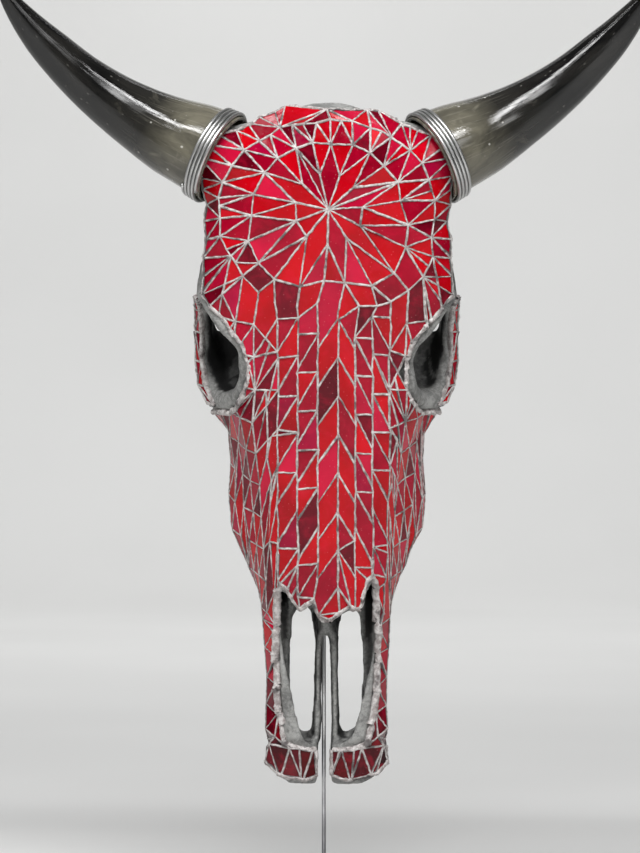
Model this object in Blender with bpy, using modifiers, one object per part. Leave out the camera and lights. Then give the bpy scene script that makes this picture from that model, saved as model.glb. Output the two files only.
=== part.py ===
"""Cow skull covered in a red glass mosaic, with polished horns, upright on a rod stand.

The skull is modelled in its own frame: x to the skull's side, y from the face plane back
towards the palate, z from the tips of the premaxillae up to the poll. The finished meshes are
then leaned forward over the stand. The stand is upright, with the world's origin at the
centre of the underside of its base plate.
"""

import math
from random import Random

import bmesh
import bpy
from mathutils import Matrix, Vector
from mathutils.bvhtree import BVHTree
from mathutils.geometry import delaunay_2d_cdt

MM = 0.001

# Driving dimensions
FACE_LEAN = math.radians(12)  # top of the face towards the viewer
SKULL_FOOT = Vector((0, 16.5, 76)) * MM  # tips of the premaxillae, over the base
VOXEL = 2.2 * MM  # grain of the bone before it is thinned
SKULL_FACES = 2900
GLASS = 2.0 * MM  # thickness of the tiles with their bed
BED_GAP = 0.5 * MM  # between the bone and the corners of the tiles
RAISE_LIMIT = 1.4 * MM  # how far a corner may be lifted to clear the bone
REFINE_DEPTH = 1.3 * MM  # bone this far through a tile gives the tile one more corner
REFINEMENTS = 3
CLEARANCE = 0.3 * MM
ROD_RADIUS = 1.5 * MM
ROD_FOOT = 3.3 * MM
ROD_TIP = 247 * MM
ROD_PLACE = Vector((-2, 30)) * MM  # rod behind the middle of the base, in the fissure
BASE_RADIUS = 100 * MM
BASE_HEIGHT = 8 * MM
WIRE = 1.3 * MM
WIRE_TURNS = 4
WIRE_SIDES = 12  # straight runs in one turn


def clear_scene():
    """Removes whatever the scene holds."""
    for obj in list(bpy.data.objects):
        bpy.data.objects.remove(obj, do_unlink=True)


def spline(points, steps, closed=False):
    """Points on a smooth curve through the given ones, with this many steps to a span."""
    points = [Vector(p) for p in points]
    count = len(points)
    spans = count if closed else count - 1
    made = []
    for i in range(spans):
        if closed:
            a, b, c, d = (points[(i + k) % count] for k in (-1, 0, 1, 2))
        else:
            a, b, c, d = (points[min(max(i + k, 0), count - 1)] for k in (-1, 0, 1, 2))
        for step in range(steps):
            t = step / steps
            made.append(
                0.5 * ((2 * b) + (c - a) * t + (2 * a - 5 * b + 4 * c - d) * t * t
                       + (3 * b - 3 * c + d - a) * t * t * t)
            )
    if not closed:
        made.append(points[-1])
    return made


def link(obj, collection):
    """Puts an object into one collection."""
    collection.objects.link(obj)
    return obj


def mesh_object(name, bm, collection):
    """An object from a bmesh, with its normals facing out."""
    bmesh.ops.recalc_face_normals(bm, faces=bm.faces)
    mesh = bpy.data.meshes.new(name)
    bm.to_mesh(mesh)
    bm.free()
    return link(bpy.data.objects.new(name, mesh), collection)


def loft_lines(stations, around=4, along=3):
    """Lines up a body through half outlines, each (height, [(x, y) from front to back]), mirrored in x."""
    rings = []
    for height, half in stations:
        whole = list(half) + [(-x, y) for x, y in reversed(half[1:-1])]
        rings.append(spline([(x, y, height) for x, y in whole], around, closed=True))
    return [spline([ring[k] for ring in rings], along) for k in range(len(rings[0]))]


def loft(name, stations, collection):
    """A closed body through mirrored half outlines."""
    lines = loft_lines(stations)
    bm = bmesh.new()
    loops = []
    for level in range(len(lines[0])):
        loops.append([bm.verts.new(line[level] * MM) for line in lines])
    for low, high in zip(loops, loops[1:]):
        for k in range(len(low)):
            n = (k + 1) % len(low)
            bm.faces.new((low[k], low[n], high[n], high[k]))
    bm.faces.new(loops[0])
    bm.faces.new(reversed(loops[-1]))
    return mesh_object(name, bm, collection)


def tube(name, points, radii, collection, steps=4, closed=False, sides=3):
    """A round bar along a smooth curve, with a radius at each of its points, all in mm."""
    path = spline(points, steps, closed)
    widths = spline([(r, 0, 0) for r in radii], steps, closed)
    curve = bpy.data.curves.new(name, "CURVE")
    curve.dimensions = "3D"
    curve.bevel_depth = MM
    curve.bevel_resolution = sides
    curve.use_fill_caps = True
    line = curve.splines.new("POLY")
    line.points.add(len(path) - 1)
    line.use_cyclic_u = closed
    for point, place, width in zip(line.points, path, widths):
        point.co = (*(place * MM), 1)
        point.radius = width.x
    guide = link(bpy.data.objects.new(name, curve), collection)
    return solid_of_curve(guide, collection)


def solid_of_curve(guide, collection):
    """The mesh of a curve object, with its caps welded, in place of the curve."""
    graph = bpy.context.evaluated_depsgraph_get()
    mesh = bpy.data.meshes.new_from_object(guide.evaluated_get(graph))
    bm = bmesh.new()
    bm.from_mesh(mesh)
    bmesh.ops.remove_doubles(bm, verts=bm.verts, dist=0.01 * MM)
    bm.to_mesh(mesh)
    bm.free()
    name, place = guide.name, guide.matrix_world.copy()
    bpy.data.objects.remove(guide, do_unlink=True)
    made = link(bpy.data.objects.new(name, mesh), collection)
    made.matrix_world = place
    return made


def ball(name, centre, radii, collection, turn=(0, 0, 0)):
    """An ellipsoid, with its centre and radii in mm and its turn in degrees."""
    bm = bmesh.new()
    bmesh.ops.create_uvsphere(bm, u_segments=24, v_segments=16, radius=MM)
    turned = Matrix.LocRotScale(
        Vector(centre) * MM,
        Matrix.Rotation(math.radians(turn[2]), 3, "Z")
        @ Matrix.Rotation(math.radians(turn[1]), 3, "Y")
        @ Matrix.Rotation(math.radians(turn[0]), 3, "X"),
        Vector(radii),
    )
    bmesh.ops.transform(bm, matrix=turned, verts=bm.verts)
    return mesh_object(name, bm, collection)


def baked(obj):
    """Gives an object the mesh that its modifiers make, and drops them."""
    graph = bpy.context.evaluated_depsgraph_get()
    mesh = bpy.data.meshes.new_from_object(obj.evaluated_get(graph))
    obj.modifiers.clear()
    obj.data = mesh
    return obj


def cut(obj, cutters):
    """Takes the cutters' shapes out of an object, one after another."""
    for cutter in cutters:
        boolean = obj.modifiers.new(cutter.name, "BOOLEAN")
        boolean.operation = "DIFFERENCE"
        boolean.solver = "EXACT"
        boolean.object = cutter
        baked(obj)
    return obj


def drop_chips(obj):
    """Keeps only the largest body of a mesh, so that no loose chip of a cut stays."""
    bm = bmesh.new()
    bm.from_mesh(obj.data)
    left = set(bm.verts)
    bodies = []
    while left:
        front = [left.pop()]
        body = list(front)
        while front:
            for edge in front.pop().link_edges:
                for vertex in edge.verts:
                    if vertex in left:
                        left.discard(vertex)
                        front.append(vertex)
                        body.append(vertex)
        bodies.append(body)
    bodies.sort(key=len)
    chips = [vertex for body in bodies[:-1] for vertex in body]
    bmesh.ops.delete(bm, geom=chips, context="VERTS")
    bm.to_mesh(obj.data)
    bm.free()


def joined(name, pieces, collection):
    """One object that holds the meshes of several, which are removed."""
    bm = bmesh.new()
    for piece in pieces:
        mesh = piece.data.copy()
        mesh.transform(piece.matrix_world)
        bm.from_mesh(mesh)
        bpy.data.meshes.remove(mesh)
        bpy.data.objects.remove(piece, do_unlink=True)
    mesh = bpy.data.meshes.new(name)
    bm.to_mesh(mesh)
    bm.free()
    return link(bpy.data.objects.new(name, mesh), collection)


# Half outlines of the whole skull without its cavities, mm: (height, [(x, y) from front to back])
HEAD = [
    (1, [(0, 13), (12, 12), (22, 13), (26, 15), (26, 18), (22, 20), (12, 21), (0, 21)]),
    (8, [(0, 9), (14, 8), (28, 9), (36, 12), (37, 17), (33, 21), (16, 23), (0, 23)]),
    (18, [(0, 7), (15, 6), (32, 7), (41, 11), (42, 18), (38, 23), (18, 25), (0, 25)]),
    (30, [(0, 7), (15, 6), (33, 8), (42, 14), (43, 22), (40, 28), (20, 28), (0, 28)]),
    (50, [(0, 6), (14, 6), (32, 9), (40, 17), (41, 27), (38, 35), (20, 33), (0, 33)]),
    (80, [(0, 5), (14, 5), (31, 10), (40, 20), (41, 33), (38, 44), (20, 42), (0, 41)]),
    (110, [(0, 3), (14, 4), (32, 11), (41, 22), (43, 38), (39, 52), (22, 50), (0, 50)]),
    (130, [(0, 1), (15, 3), (33, 10), (43, 24), (44, 42), (40, 58), (24, 57), (0, 57)]),
    (150, [(0, 0), (18, 2), (34, 8), (46, 26), (50, 48), (44, 66), (26, 63), (0, 63)]),
    (175, [(0, -1), (20, 1), (37, 7), (50, 28), (63, 54), (49, 76), (28, 71), (0, 70)]),
    (198, [(0, -1), (21, 1), (38, 7), (54, 30), (70.5, 58), (54, 86), (30, 78), (0, 77)]),
    (222, [(0, -1), (22, 1), (40, 8), (56, 32), (68, 60), (58, 94), (30, 85), (0, 84)]),
    (250, [(0, 0), (24, 2), (44, 8), (59, 32), (68, 62), (60, 102), (28, 92), (0, 91)]),
    (275, [(0, 1), (28, 3), (52, 9), (66, 32), (74, 62), (60, 108), (24, 98), (0, 97)]),
    (300, [(0, 1), (34, 4), (60, 10), (80, 30), (89, 68), (50, 108), (20, 103), (0, 102)]),
    (325, [(0, 1), (38, 4), (64, 9), (84, 26), (90, 68), (46, 104), (20, 108), (0, 108)]),
    (345, [(0, 0), (42, 3), (72, 9), (88, 20), (82, 56), (42, 96), (20, 112), (0, 112)]),
    (365, [(0, -1), (48, 2), (79, 9), (87, 18), (62, 46), (48, 90), (24, 116), (0, 117)]),
    (395, [(0, -2), (50, 2), (78, 10), (85, 20), (58, 48), (55, 90), (30, 122), (0, 124)]),
    (425, [(0, -2), (50, 3), (77, 12), (83, 24), (58, 50), (58, 94), (34, 124), (0, 126)]),
    (450, [(0, -1), (48, 4), (76, 11), (85, 24), (62, 48), (53, 90), (36, 122), (0, 124)]),
    (467, [(0, 1), (46, 5), (74, 13), (82.5, 29), (61, 49), (49, 84), (33, 116), (0, 118)]),
    (477, [(0, 3), (42, 8), (69, 16), (79, 30), (57, 47), (45, 76), (28, 100), (0, 104)]),
    (484, [(0, 5), (36, 11), (60, 20), (72, 31), (47, 46), (38, 64), (22, 84), (0, 87)]),
    (488, [(0, 7), (30, 13), (46, 21), (53, 32), (43, 48), (35, 60), (19, 74), (0, 77)]),
    (492.5, [(0, 8), (20, 13), (30, 20), (34, 30), (31, 46), (26, 55), (16, 65), (0, 67)]),
    (496, [(0, 10), (15, 14), (21, 20), (24, 29), (22, 42), (19, 49), (12, 55), (0, 57)]),
    (500, [(0, 13), (9, 15), (15, 20), (17, 28), (15, 37), (12, 41), (8, 43), (0, 44)]),
]
NASAL_CAVITY = [
    (34, [(0, 12), (10, 12), (20, 13), (30, 18), (32, 22), (28, 24), (14, 24), (0, 24)]),
    (50, [(0, 11), (12, 11), (24, 13), (34, 20), (35, 26), (32, 29), (16, 28), (0, 28)]),
    (80, [(0, 10), (12, 10), (26, 14), (35, 22), (36, 32), (33, 38), (18, 37), (0, 36)]),
    (110, [(0, 8), (12, 9), (28, 15), (36, 25), (38, 38), (34, 46), (20, 45), (0, 44)]),
    (150, [(0, 6), (14, 7), (29, 13), (40, 28), (42, 46), (36, 58), (20, 57), (0, 57)]),
    (200, [(0, 6), (16, 8), (30, 14), (42, 32), (48, 54), (42, 72), (22, 71), (0, 70)]),
    (250, [(0, 8), (16, 10), (30, 18), (40, 36), (42, 56), (36, 78), (20, 84), (0, 84)]),
    (285, [(0, 26), (12, 28), (22, 34), (30, 44), (30, 60), (26, 78), (14, 92), (0, 94)]),
    (310, [(0, 70), (8, 72), (14, 76), (16, 84), (16, 96), (14, 112), (8, 118), (0, 120)]),
]
# Edge of the opening in front of the nasal cavity, seen from the front, mm: (x, height)
OPENING = [
    (-8, 33), (-13, 32), (-18, 42), (-23, 62), (-30, 95), (-35, 125), (-36, 142), (-33, 151),
    (-29, 149), (-25, 140), (-20, 134), (-15, 138), (-10, 143), (-8, 134), (-5, 127), (2, 127),
    (9, 131), (16, 137), (20, 134), (25, 135), (28, 145), (32, 159), (36, 152), (37, 132),
    (32, 96), (24, 62), (19, 43), (13, 32), (8, 33),
]
# Gap between the two premaxillae, wider on the left below, mm: (x, height)
FISSURE = [(-6.5, -8), (2.8, -8), (2.8, 30), (2.4, 70), (3.4, 108), (0, 116), (-3.4, 108), (-3.2, 70),
           (-4, 38), (-6.5, 28)]
ORBIT_WINDOW = [(90, 357), (82, 354), (64, 332), (61, 318), (64, 295), (72, 286), (84, 292), (90, 320)]
ORBIT_RIM = [
    (85, 21, 361), (74, 12, 346), (60, 10, 330), (57, 11, 315), (60, 18, 297), (68, 38, 284),
    (79, 58, 282), (85, 68, 293), (88, 72, 311), (88.5, 70, 331), (89, 59, 350), (88, 42, 361),
]


def prism(name, outline, near, far, collection):
    """A block with the given outline, mm, that runs from one depth to another along Y."""
    bm = bmesh.new()
    loops = []
    for depth in (near, far):
        loops.append([bm.verts.new(Vector((x, depth, z)) * MM) for x, z in outline])
    for k in range(len(outline)):
        n = (k + 1) % len(outline)
        bm.faces.new((loops[0][k], loops[0][n], loops[1][n], loops[1][k]))
    bm.faces.new(loops[0])
    bm.faces.new(reversed(loops[1]))
    return mesh_object(name, bm, collection)


def head_core(parts):
    """The main body of the skull with its cavities cut in."""
    core = loft("head_core", HEAD, parts)
    cutters = [
        loft("nasal_cavity", NASAL_CAVITY, parts),
        prism("nasal_opening", OPENING, -20, 26, parts),
        prism("midline_fissure", FISSURE, -10, 60, parts),
        ball("foramen_magnum", (0, 116, 480), (17, 15, 24), parts, (-30, 0, 0)),
    ]
    for side in (-1, 1):
        cutters += [
            prism("palatine_fissure", [(side * 9, 45), (side * 13, 36), (side * 21, 42),
                                       (side * 28, 64), (side * 29, 95), (side * 24, 122),
                                       (side * 14, 128), (side * 8, 100)], 18, 70, parts),
            prism("orbit_window", [(side * x, z) for x, z in ORBIT_WINDOW], -20, 52, parts),
            ball("orbit_funnel", (side * 80, 48, 322), (38, 29, 33), parts, (0, 0, side * -25)),
            ball("orbit_depth", (side * 62, 56, 326), (26, 20, 22), parts, (0, 0, side * -25)),
        ]
    cut(core, cutters)
    for cutter in cutters:
        bpy.data.objects.remove(cutter, do_unlink=True)
    return core


def cheek_and_arch(side, parts):
    """The rim of one orbit, and the zygomatic arch behind it."""
    rim = [(side * x, y, z) for x, y, z in ORBIT_RIM]
    radii = [6, 6, 5.5, 5.5, 6, 8, 10, 9, 7.5, 6.5, 6.5, 6.5]
    arch = [
        (side * 81, 72, 288), (side * 88, 78, 318), (side * 90, 85, 350), (side * 84, 92, 382),
        (side * 72, 97, 406), (side * 54, 98, 418),
    ]
    return [
        tube("orbit_rim", rim, radii, parts, steps=3, closed=True),
        tube("zygomatic_arch", arch, [10, 8.5, 7.5, 7, 8.5, 11], parts),
    ]


def skull_base(side, parts):
    """What stands out behind one side of the braincase and beside the palate."""
    return [
        ball("condyle", (side * 20, 121, 464), (16, 20, 21), parts, (25, 0, 0)),
        tube("paracondylar", [(side * 40, 108, 452), (side * 46, 136, 446), (side * 46, 164, 434)],
             [13, 9, 4], parts),
        ball("bulla", (side * 35, 120, 402), (11, 18, 15), parts),
        tube("meatus", [(side * 46, 100, 420), (side * 62, 98, 426), (side * 72, 98, 430)],
             [12, 9, 8], parts),
        tube("temporal_crest", [(side * 52, 40, 446), (side * 52, 60, 440), (side * 53, 84, 433),
                                (side * 55, 98, 426)], [9, 7, 7, 9], parts),
        tube("pterygoid", [(side * 19, 112, 345), (side * 21, 122, 322), (side * 22, 127, 302),
                           (side * 26, 112, 284)], [6, 4.5, 4, 5], parts),
        tube("alveolar_ridge", [(side * 42, 70, 162), (side * 45, 84, 200), (side * 46, 96, 240),
                                (side * 45, 104, 275), (side * 41, 105, 300)],
             [6, 12, 13, 13, 9], parts),
        tube("nasal_wall", [(side * 27, 33, 50), (side * 29, 42, 85), (side * 28, 48, 120),
                            (side * 26, 50, 160)], [3, 3.5, 4, 6], parts),
        tube("horn_core", [(side * 46, 32, 450), (side * 63, 32, 457.5), (side * 75, 33.5, 461.5),
                           (side * 90, 38.5, 468), (side * 111, 46.5, 476), (side * 128, 51, 484.5)],
             [24, 24.5, 24.5, 22.5, 19.5, 15.5], parts),
        tube("palatine_process", [(side * 7, 22, 32), (side * 6.5, 29, 66), (side * 5, 38, 112)],
             [4.2, 3.8, 4], parts),
    ]


def skull_bone(parts):
    """The whole skull as one solid, without its teeth."""
    pieces = [head_core(parts)]
    pieces.append(tube("basioccipital", [(0, 122, 452), (0, 128, 404), (0, 122, 350), (0, 112, 322)],
                       [18, 14, 11, 8], parts))
    pieces.append(tube("vomer", [(0, 38, 112), (0, 50, 165), (0, 64, 230)], [6.5, 6.5, 5], parts))
    for side in (-1, 1):
        pieces += cheek_and_arch(side, parts)
        pieces += skull_base(side, parts)
    skull = joined("skull", pieces, parts)
    remesh = skull.modifiers.new("one body", "REMESH")
    remesh.mode = "VOXEL"
    remesh.voxel_size = VOXEL
    baked(skull)
    smooth = skull.modifiers.new("soften", "SMOOTH")
    smooth.factor = 0.5
    smooth.iterations = 4
    baked(skull)
    decimate = skull.modifiers.new("thin", "DECIMATE")
    decimate.ratio = SKULL_FACES / max(1, 2 * len(skull.data.polygons))
    baked(skull)
    return skull


# Edge of the glass on the right side, mm along the surface from the midline and in height
NOSE_EDGE_RIGHT = [
    (2, 131), (9, 136), (17, 141), (21, 138), (24, 139), (25.5, 146), (29, 160), (33, 164),
    (38.5, 150), (40, 125), (41, 95), (37, 62), (34, 48), (31, 35), (20, 31), (3.8, 30),
]
NOSE_EDGE_LEFT = [
    (-4, 131), (-7, 137), (-9, 147), (-15, 142), (-19, 138), (-24, 144), (-28, 153), (-33, 157),
    (-38, 150), (-39, 125), (-40, 95), (-37, 62), (-34, 48), (-31, 35), (-20, 31), (-7.6, 30),
]
CHIN_RIGHT = [(3.8, 10), (14, 8.5), (26, 10), (36, 13), (44, 20)]
CHIN_LEFT = [(-7.6, 10), (-14, 8.5), (-26, 10), (-36, 13), (-44, 20)]
CHEEK_HEIGHTS = (28, 42, 65, 95, 125, 150, 175, 200, 225, 250, 266)
ORBIT_EDGE = [(122, 275), (104, 277), (84, 276), (69, 282), (60, 291), (56, 304), (56, 319), (60, 334),
              (72, 348)]
TEMPLE_HEIGHTS = (366, 379, 392, 405, 418, 430, 441, 452)
# Edge of the glass at the mouth of the horn, seen from the front, mm: (x, height)
HORN_EDGE = [(81.5, 462), (78, 470), (73.5, 477), (64, 482.5), (52, 485)]
POLL_HEIGHTS = (489, 492, 494.5)
POLL_TOP = 497
# Ends of the lines between the columns of tiles, below the star
COLUMN_TOPS = [(0, 360), (14, 362), (28, 360), (41, 364), (53, 371), (64, 381), (72, 395)]
COLUMN_COUNT = 12
LONG_COLUMNS = 3
COLUMN_WIDTH = 12.5
STAR = Vector((1, 430))


class Skin:
    """The outer surface of the head, unrolled: distance from the midline against height, in mm."""

    STEPS = 4

    def __init__(self):
        lines = loft_lines(HEAD, self.STEPS)[: 7 * self.STEPS + 1]
        self.heights = [point.z for point in lines[0]]
        self.rows = []
        for level in range(len(lines[0])):
            row = [line[level] for line in lines]
            arcs = [0.0]
            for a, b in zip(row, row[1:]):
                arcs.append(arcs[-1] + (b - a).length)
            self.rows.append((row, arcs))

    def _bracket(self, height):
        height = min(max(height, self.heights[0]), self.heights[-1])
        for k in range(len(self.heights) - 1):
            if height <= self.heights[k + 1]:
                break
        low, high = self.heights[k], self.heights[k + 1]
        return k, (height - low) / (high - low)

    def arc(self, corner, height):
        """Distance from the midline of one corner of the half outlines, counted from the front."""
        level, part = self._bracket(height)
        place = corner * self.STEPS
        index = min(int(place), 7 * self.STEPS - 1)
        found = []
        for _, arcs in (self.rows[level], self.rows[level + 1]):
            found.append(arcs[index] + (arcs[index + 1] - arcs[index]) * (place - index))
        return found[0] + (found[1] - found[0]) * part

    def reach(self, x, height):
        """Distance from the midline at which the front of the skin is this far to the side."""
        level, part = self._bracket(height)
        found = []
        for row, arcs in (self.rows[level], self.rows[level + 1]):
            widest = max(range(len(row)), key=lambda k: row[k].x)
            k = next((k for k in range(widest) if row[k + 1].x >= x), widest - 1)
            share = min(1.0, (x - row[k].x) / (row[k + 1].x - row[k].x))
            found.append(arcs[k] + (arcs[k + 1] - arcs[k]) * share)
        return found[0] + (found[1] - found[0]) * part

    def point(self, across, height):
        """The place of a point given by its distance across and its height."""
        level, part = self._bracket(height)
        found = []
        for row, arcs in (self.rows[level], self.rows[level + 1]):
            reach = min(abs(across), arcs[-1] - 0.01)
            k = next(i for i in range(len(arcs) - 1) if arcs[i + 1] > reach)
            found.append(row[k].lerp(row[k + 1], (reach - arcs[k]) / (arcs[k + 1] - arcs[k])))
        place = found[0].lerp(found[1], part)
        if across < 0:
            place.x = -place.x
        return place

    def normal(self, across, height):
        """The direction straight out of the surface."""
        step = 2.0
        along = self.point(across + step, height) - self.point(across - step, height)
        up = self.point(across, height + step) - self.point(across, height - step)
        return up.cross(along).normalized() * -1


class Tiling:
    """The lines between the tiles, as points on the unrolled skin and pairs of points."""

    def __init__(self, skin):
        self.skin = skin
        self.random = Random(6)
        self.points = []
        self.pairs = []
        self.tops = {}

    def node(self, across, height, shake=1.0):
        """Adds a point, shaken a little, and returns its number."""
        across += self.random.uniform(-shake, shake)
        height += self.random.uniform(-shake, shake)
        self.points.append(Vector((across, height)))
        return len(self.points) - 1

    def join(self, first, second):
        """Adds a line between two points."""
        if first != second:
            self.pairs.append((first, second))

    def chain(self, nodes, closed=False):
        """Joins points in a row."""
        for a, b in zip(nodes, nodes[1:] + (nodes[:1] if closed else [])):
            self.join(a, b)

    def zip_rows(self, inner, outer, centre, closed=False):
        """Fills the band between two rows of points with triangles, in turn round a centre."""
        def turn(number):
            arm = self.points[number] - centre
            return (math.atan2(arm.y, arm.x) + math.pi / 2) % math.tau
        rows = []
        for row in (inner, outer):
            row = sorted(row, key=turn)
            turns = [turn(number) for number in row]
            if closed:
                row.append(row[0])
                turns.append(turns[0] + math.tau)
            rows.append((row, turns + [math.inf]))
        place = [0, 0]
        self.join(rows[0][0][0], rows[1][0][0])
        while place[0] + 1 < len(rows[0][0]) or place[1] + 1 < len(rows[1][0]):
            step = 0 if rows[0][1][place[0] + 1] <= rows[1][1][place[1] + 1] else 1
            place[step] += 1
            self.join(rows[0][0][place[0]], rows[1][0][place[1]])

    def star(self):
        """The star on the forehead, and the rings of triangles round it."""
        petals = 11
        first, tips, mids = [], [], []
        heart = self.node(STAR.x, STAR.y, 0)
        for k in range(petals):
            angle = math.tau * (k + 0.15) / petals
            first.append(self.node(STAR.x + 24 * math.cos(angle), STAR.y + 24 * math.sin(angle), 1.5))
        for k in range(2 * petals):
            angle = math.tau * (k / 2 + 0.15) / petals
            down = max(0.0, -math.sin(angle))
            reach = 44 + 8 * abs(math.cos(angle)) + 22 * down * abs(math.cos(angle)) + 4 * down
            place = (STAR.x + reach * math.cos(angle), STAR.y + reach * math.sin(angle))
            (mids if k % 2 == 0 else tips).append(self.node(*place, 1.5))
        for k in range(petals):
            n = (k + 1) % petals
            self.join(heart, first[k])
            self.join(first[k], tips[k])
            self.join(first[n], tips[k])
            self.join(first[k], mids[k])
            self.join(mids[k], tips[k])
            self.join(tips[k], mids[n])
        third = [self.node(8, 357, 0)]
        fourth = []
        self.tops = {1: [third[0]], -1: [third[0]]}  # upper ends of the lines between columns
        for side in (-1, 1):
            for across, height in COLUMN_TOPS[1:]:
                spine = 8 if across < 30 else 4
                third.append(self.node(side * across + spine, height, 1))
                self.tops[side].append(third[-1])
            for across, height in ((75, 408), (76, 422), (76, 436), (73, 449), (67, 460), (58, 469),
                                   (46, 477), (32, 484), (16, 488)):
                third.append(self.node(side * across, height, 1.5))
            for across, height in upper_edge(self.skin, side):
                fourth.append(self.node(across, height, 0))
        third.append(self.node(1, 491, 1))
        self.zip_rows(mids + tips, third, STAR, closed=True)
        ring = sorted(third, key=lambda n: math.atan2(*(self.points[n] - STAR)))
        self.chain(ring, closed=True)
        fourth.append(self.node(0, POLL_TOP, 0))
        upper = [number for number in third if self.points[number].y > COLUMN_TOPS[4][1] - 2]
        self.zip_rows(upper, fourth, STAR)

    def column_line(self, side, number, height):
        """Distance from the midline of one line between columns at one height."""
        edge = self.skin.arc(5, height)
        spine = 8 - 3 * min(1, number / 3)
        if number <= 3:
            return side * number * 13.2 + spine
        room = (edge - 44) / (141 - 44)
        return side * (40 + (number - 3) * COLUMN_WIDTH * min(max(room, 0.5), 1.1)) + spine / 2

    def columns(self):
        """Slanting tiles beside the spine, then narrow triangles on the sides of the face."""
        spine = []
        for side in (-1, 1):
            lines = [
                [self.tops[side][number]] if number < len(self.tops[side]) else []
                for number in range(COLUMN_COUNT + 1)
            ]
            if side == 1:
                lines[0] = []
            for number in range(LONG_COLUMNS):
                self.slants(side, number, lines)
            for number in range(LONG_COLUMNS, COLUMN_COUNT + 1):
                for row in range(10):
                    height = 346 - 24 * row + (number - LONG_COLUMNS) * 1.6
                    if height > 125:
                        across = self.column_line(side, number, height)
                        lines[number].append(self.node(across, height, 0.8))
            for number in range(LONG_COLUMNS, COLUMN_COUNT):
                rows = [[n for n in lines[k] if self.points[n].y < 352] for k in (number, number + 1)]
                for row in range(min(len(rows[0]), len(rows[1]))):
                    self.join(rows[0][row], rows[1][row])
                    if row + 1 < len(rows[1]):
                        self.join(rows[0][row], rows[1][row + 1])
            for line in lines:
                self.chain(sorted(set(line), key=lambda n: -self.points[n].y))
            spine += lines[0]
        self.chain(sorted(set(spine), key=lambda n: -self.points[n].y))

    def slants(self, side, number, lines):
        """The slanting tiles of one column near the spine."""
        pitch = 28
        top = 350 + self.random.uniform(-3, 3) - (number % 2) * 10
        for row in range(9):
            high = top - pitch * row
            low = high - (21 if number == 0 else 25)
            if low < 122:
                break
            inner = self.node(self.column_line(side, number, high), high, 0.6)
            outer = self.node(self.column_line(side, number + 1, low), low, 0.6)
            self.join(inner, outer)
            lines[number].append(inner)
            lines[number + 1].append(outer)
            if number and (row < 4 or row % 2 == 0):
                level = self.node(self.column_line(side, number + 1, high), high - 1, 0.6)
                self.join(inner, level)
                lines[number + 1].append(level)

    def chin(self):
        """The narrow tiles down the sides of the nose opening and the triangles below it."""
        for side in (-1, 1):
            rows = []
            for height in (122, 100, 78, 57, 38):
                edge = self.skin.arc(5, height)
                rows.append([
                    self.node(side * (36 + (edge - 30) * part / 3), height + 3 * part, 0.8)
                    for part in range(4)
                ])
            for row in rows:
                self.chain(row)
            for high, low in zip(rows, rows[1:]):
                for part in range(4):
                    self.join(high[part], low[part])
                    if part < 3:
                        self.join(high[part], low[part + 1])
            zigzag = [self.node(side * (2 + k * 7.5), 33 if k % 2 else 1, 1) for k in range(8)]
            self.chain(zigzag)


def upper_edge(skin, side):
    """Edge of the glass from one orbit up past the horn to the poll, on the unrolled skin."""
    run = [(84, 359)]
    run += [(skin.arc(2.8, z), z) for z in TEMPLE_HEIGHTS]
    run += [(skin.reach(x, z), z) for x, z in HORN_EDGE]
    run += [(skin.arc(3.15, z), z) for z in POLL_HEIGHTS]
    return [(side * across, height) for across, height in run]


def glass_edge(skin):
    """Outline of the glass on the unrolled skin. It ends at the inner and the lower rims of the orbits."""
    def side_run(side):
        run = [(side * skin.arc(4.9, z), z) for z in CHEEK_HEIGHTS]
        run += [(side * across, height) for across, height in ORBIT_EDGE]
        return run + upper_edge(skin, side)
    right = CHIN_RIGHT + side_run(1)
    left = CHIN_LEFT + side_run(-1)
    return NOSE_EDGE_RIGHT + right + [(0, POLL_TOP)] + left[::-1] + NOSE_EDGE_LEFT[::-1]


def inside(point, outline):
    """Whether a point lies within an outline."""
    found = False
    for (ax, ay), (bx, by) in zip(outline, outline[1:] + outline[:1]):
        if (ay > point.y) != (by > point.y) and point.x < ax + (bx - ax) * (point.y - ay) / (by - ay):
            found = not found
    return found


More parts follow.
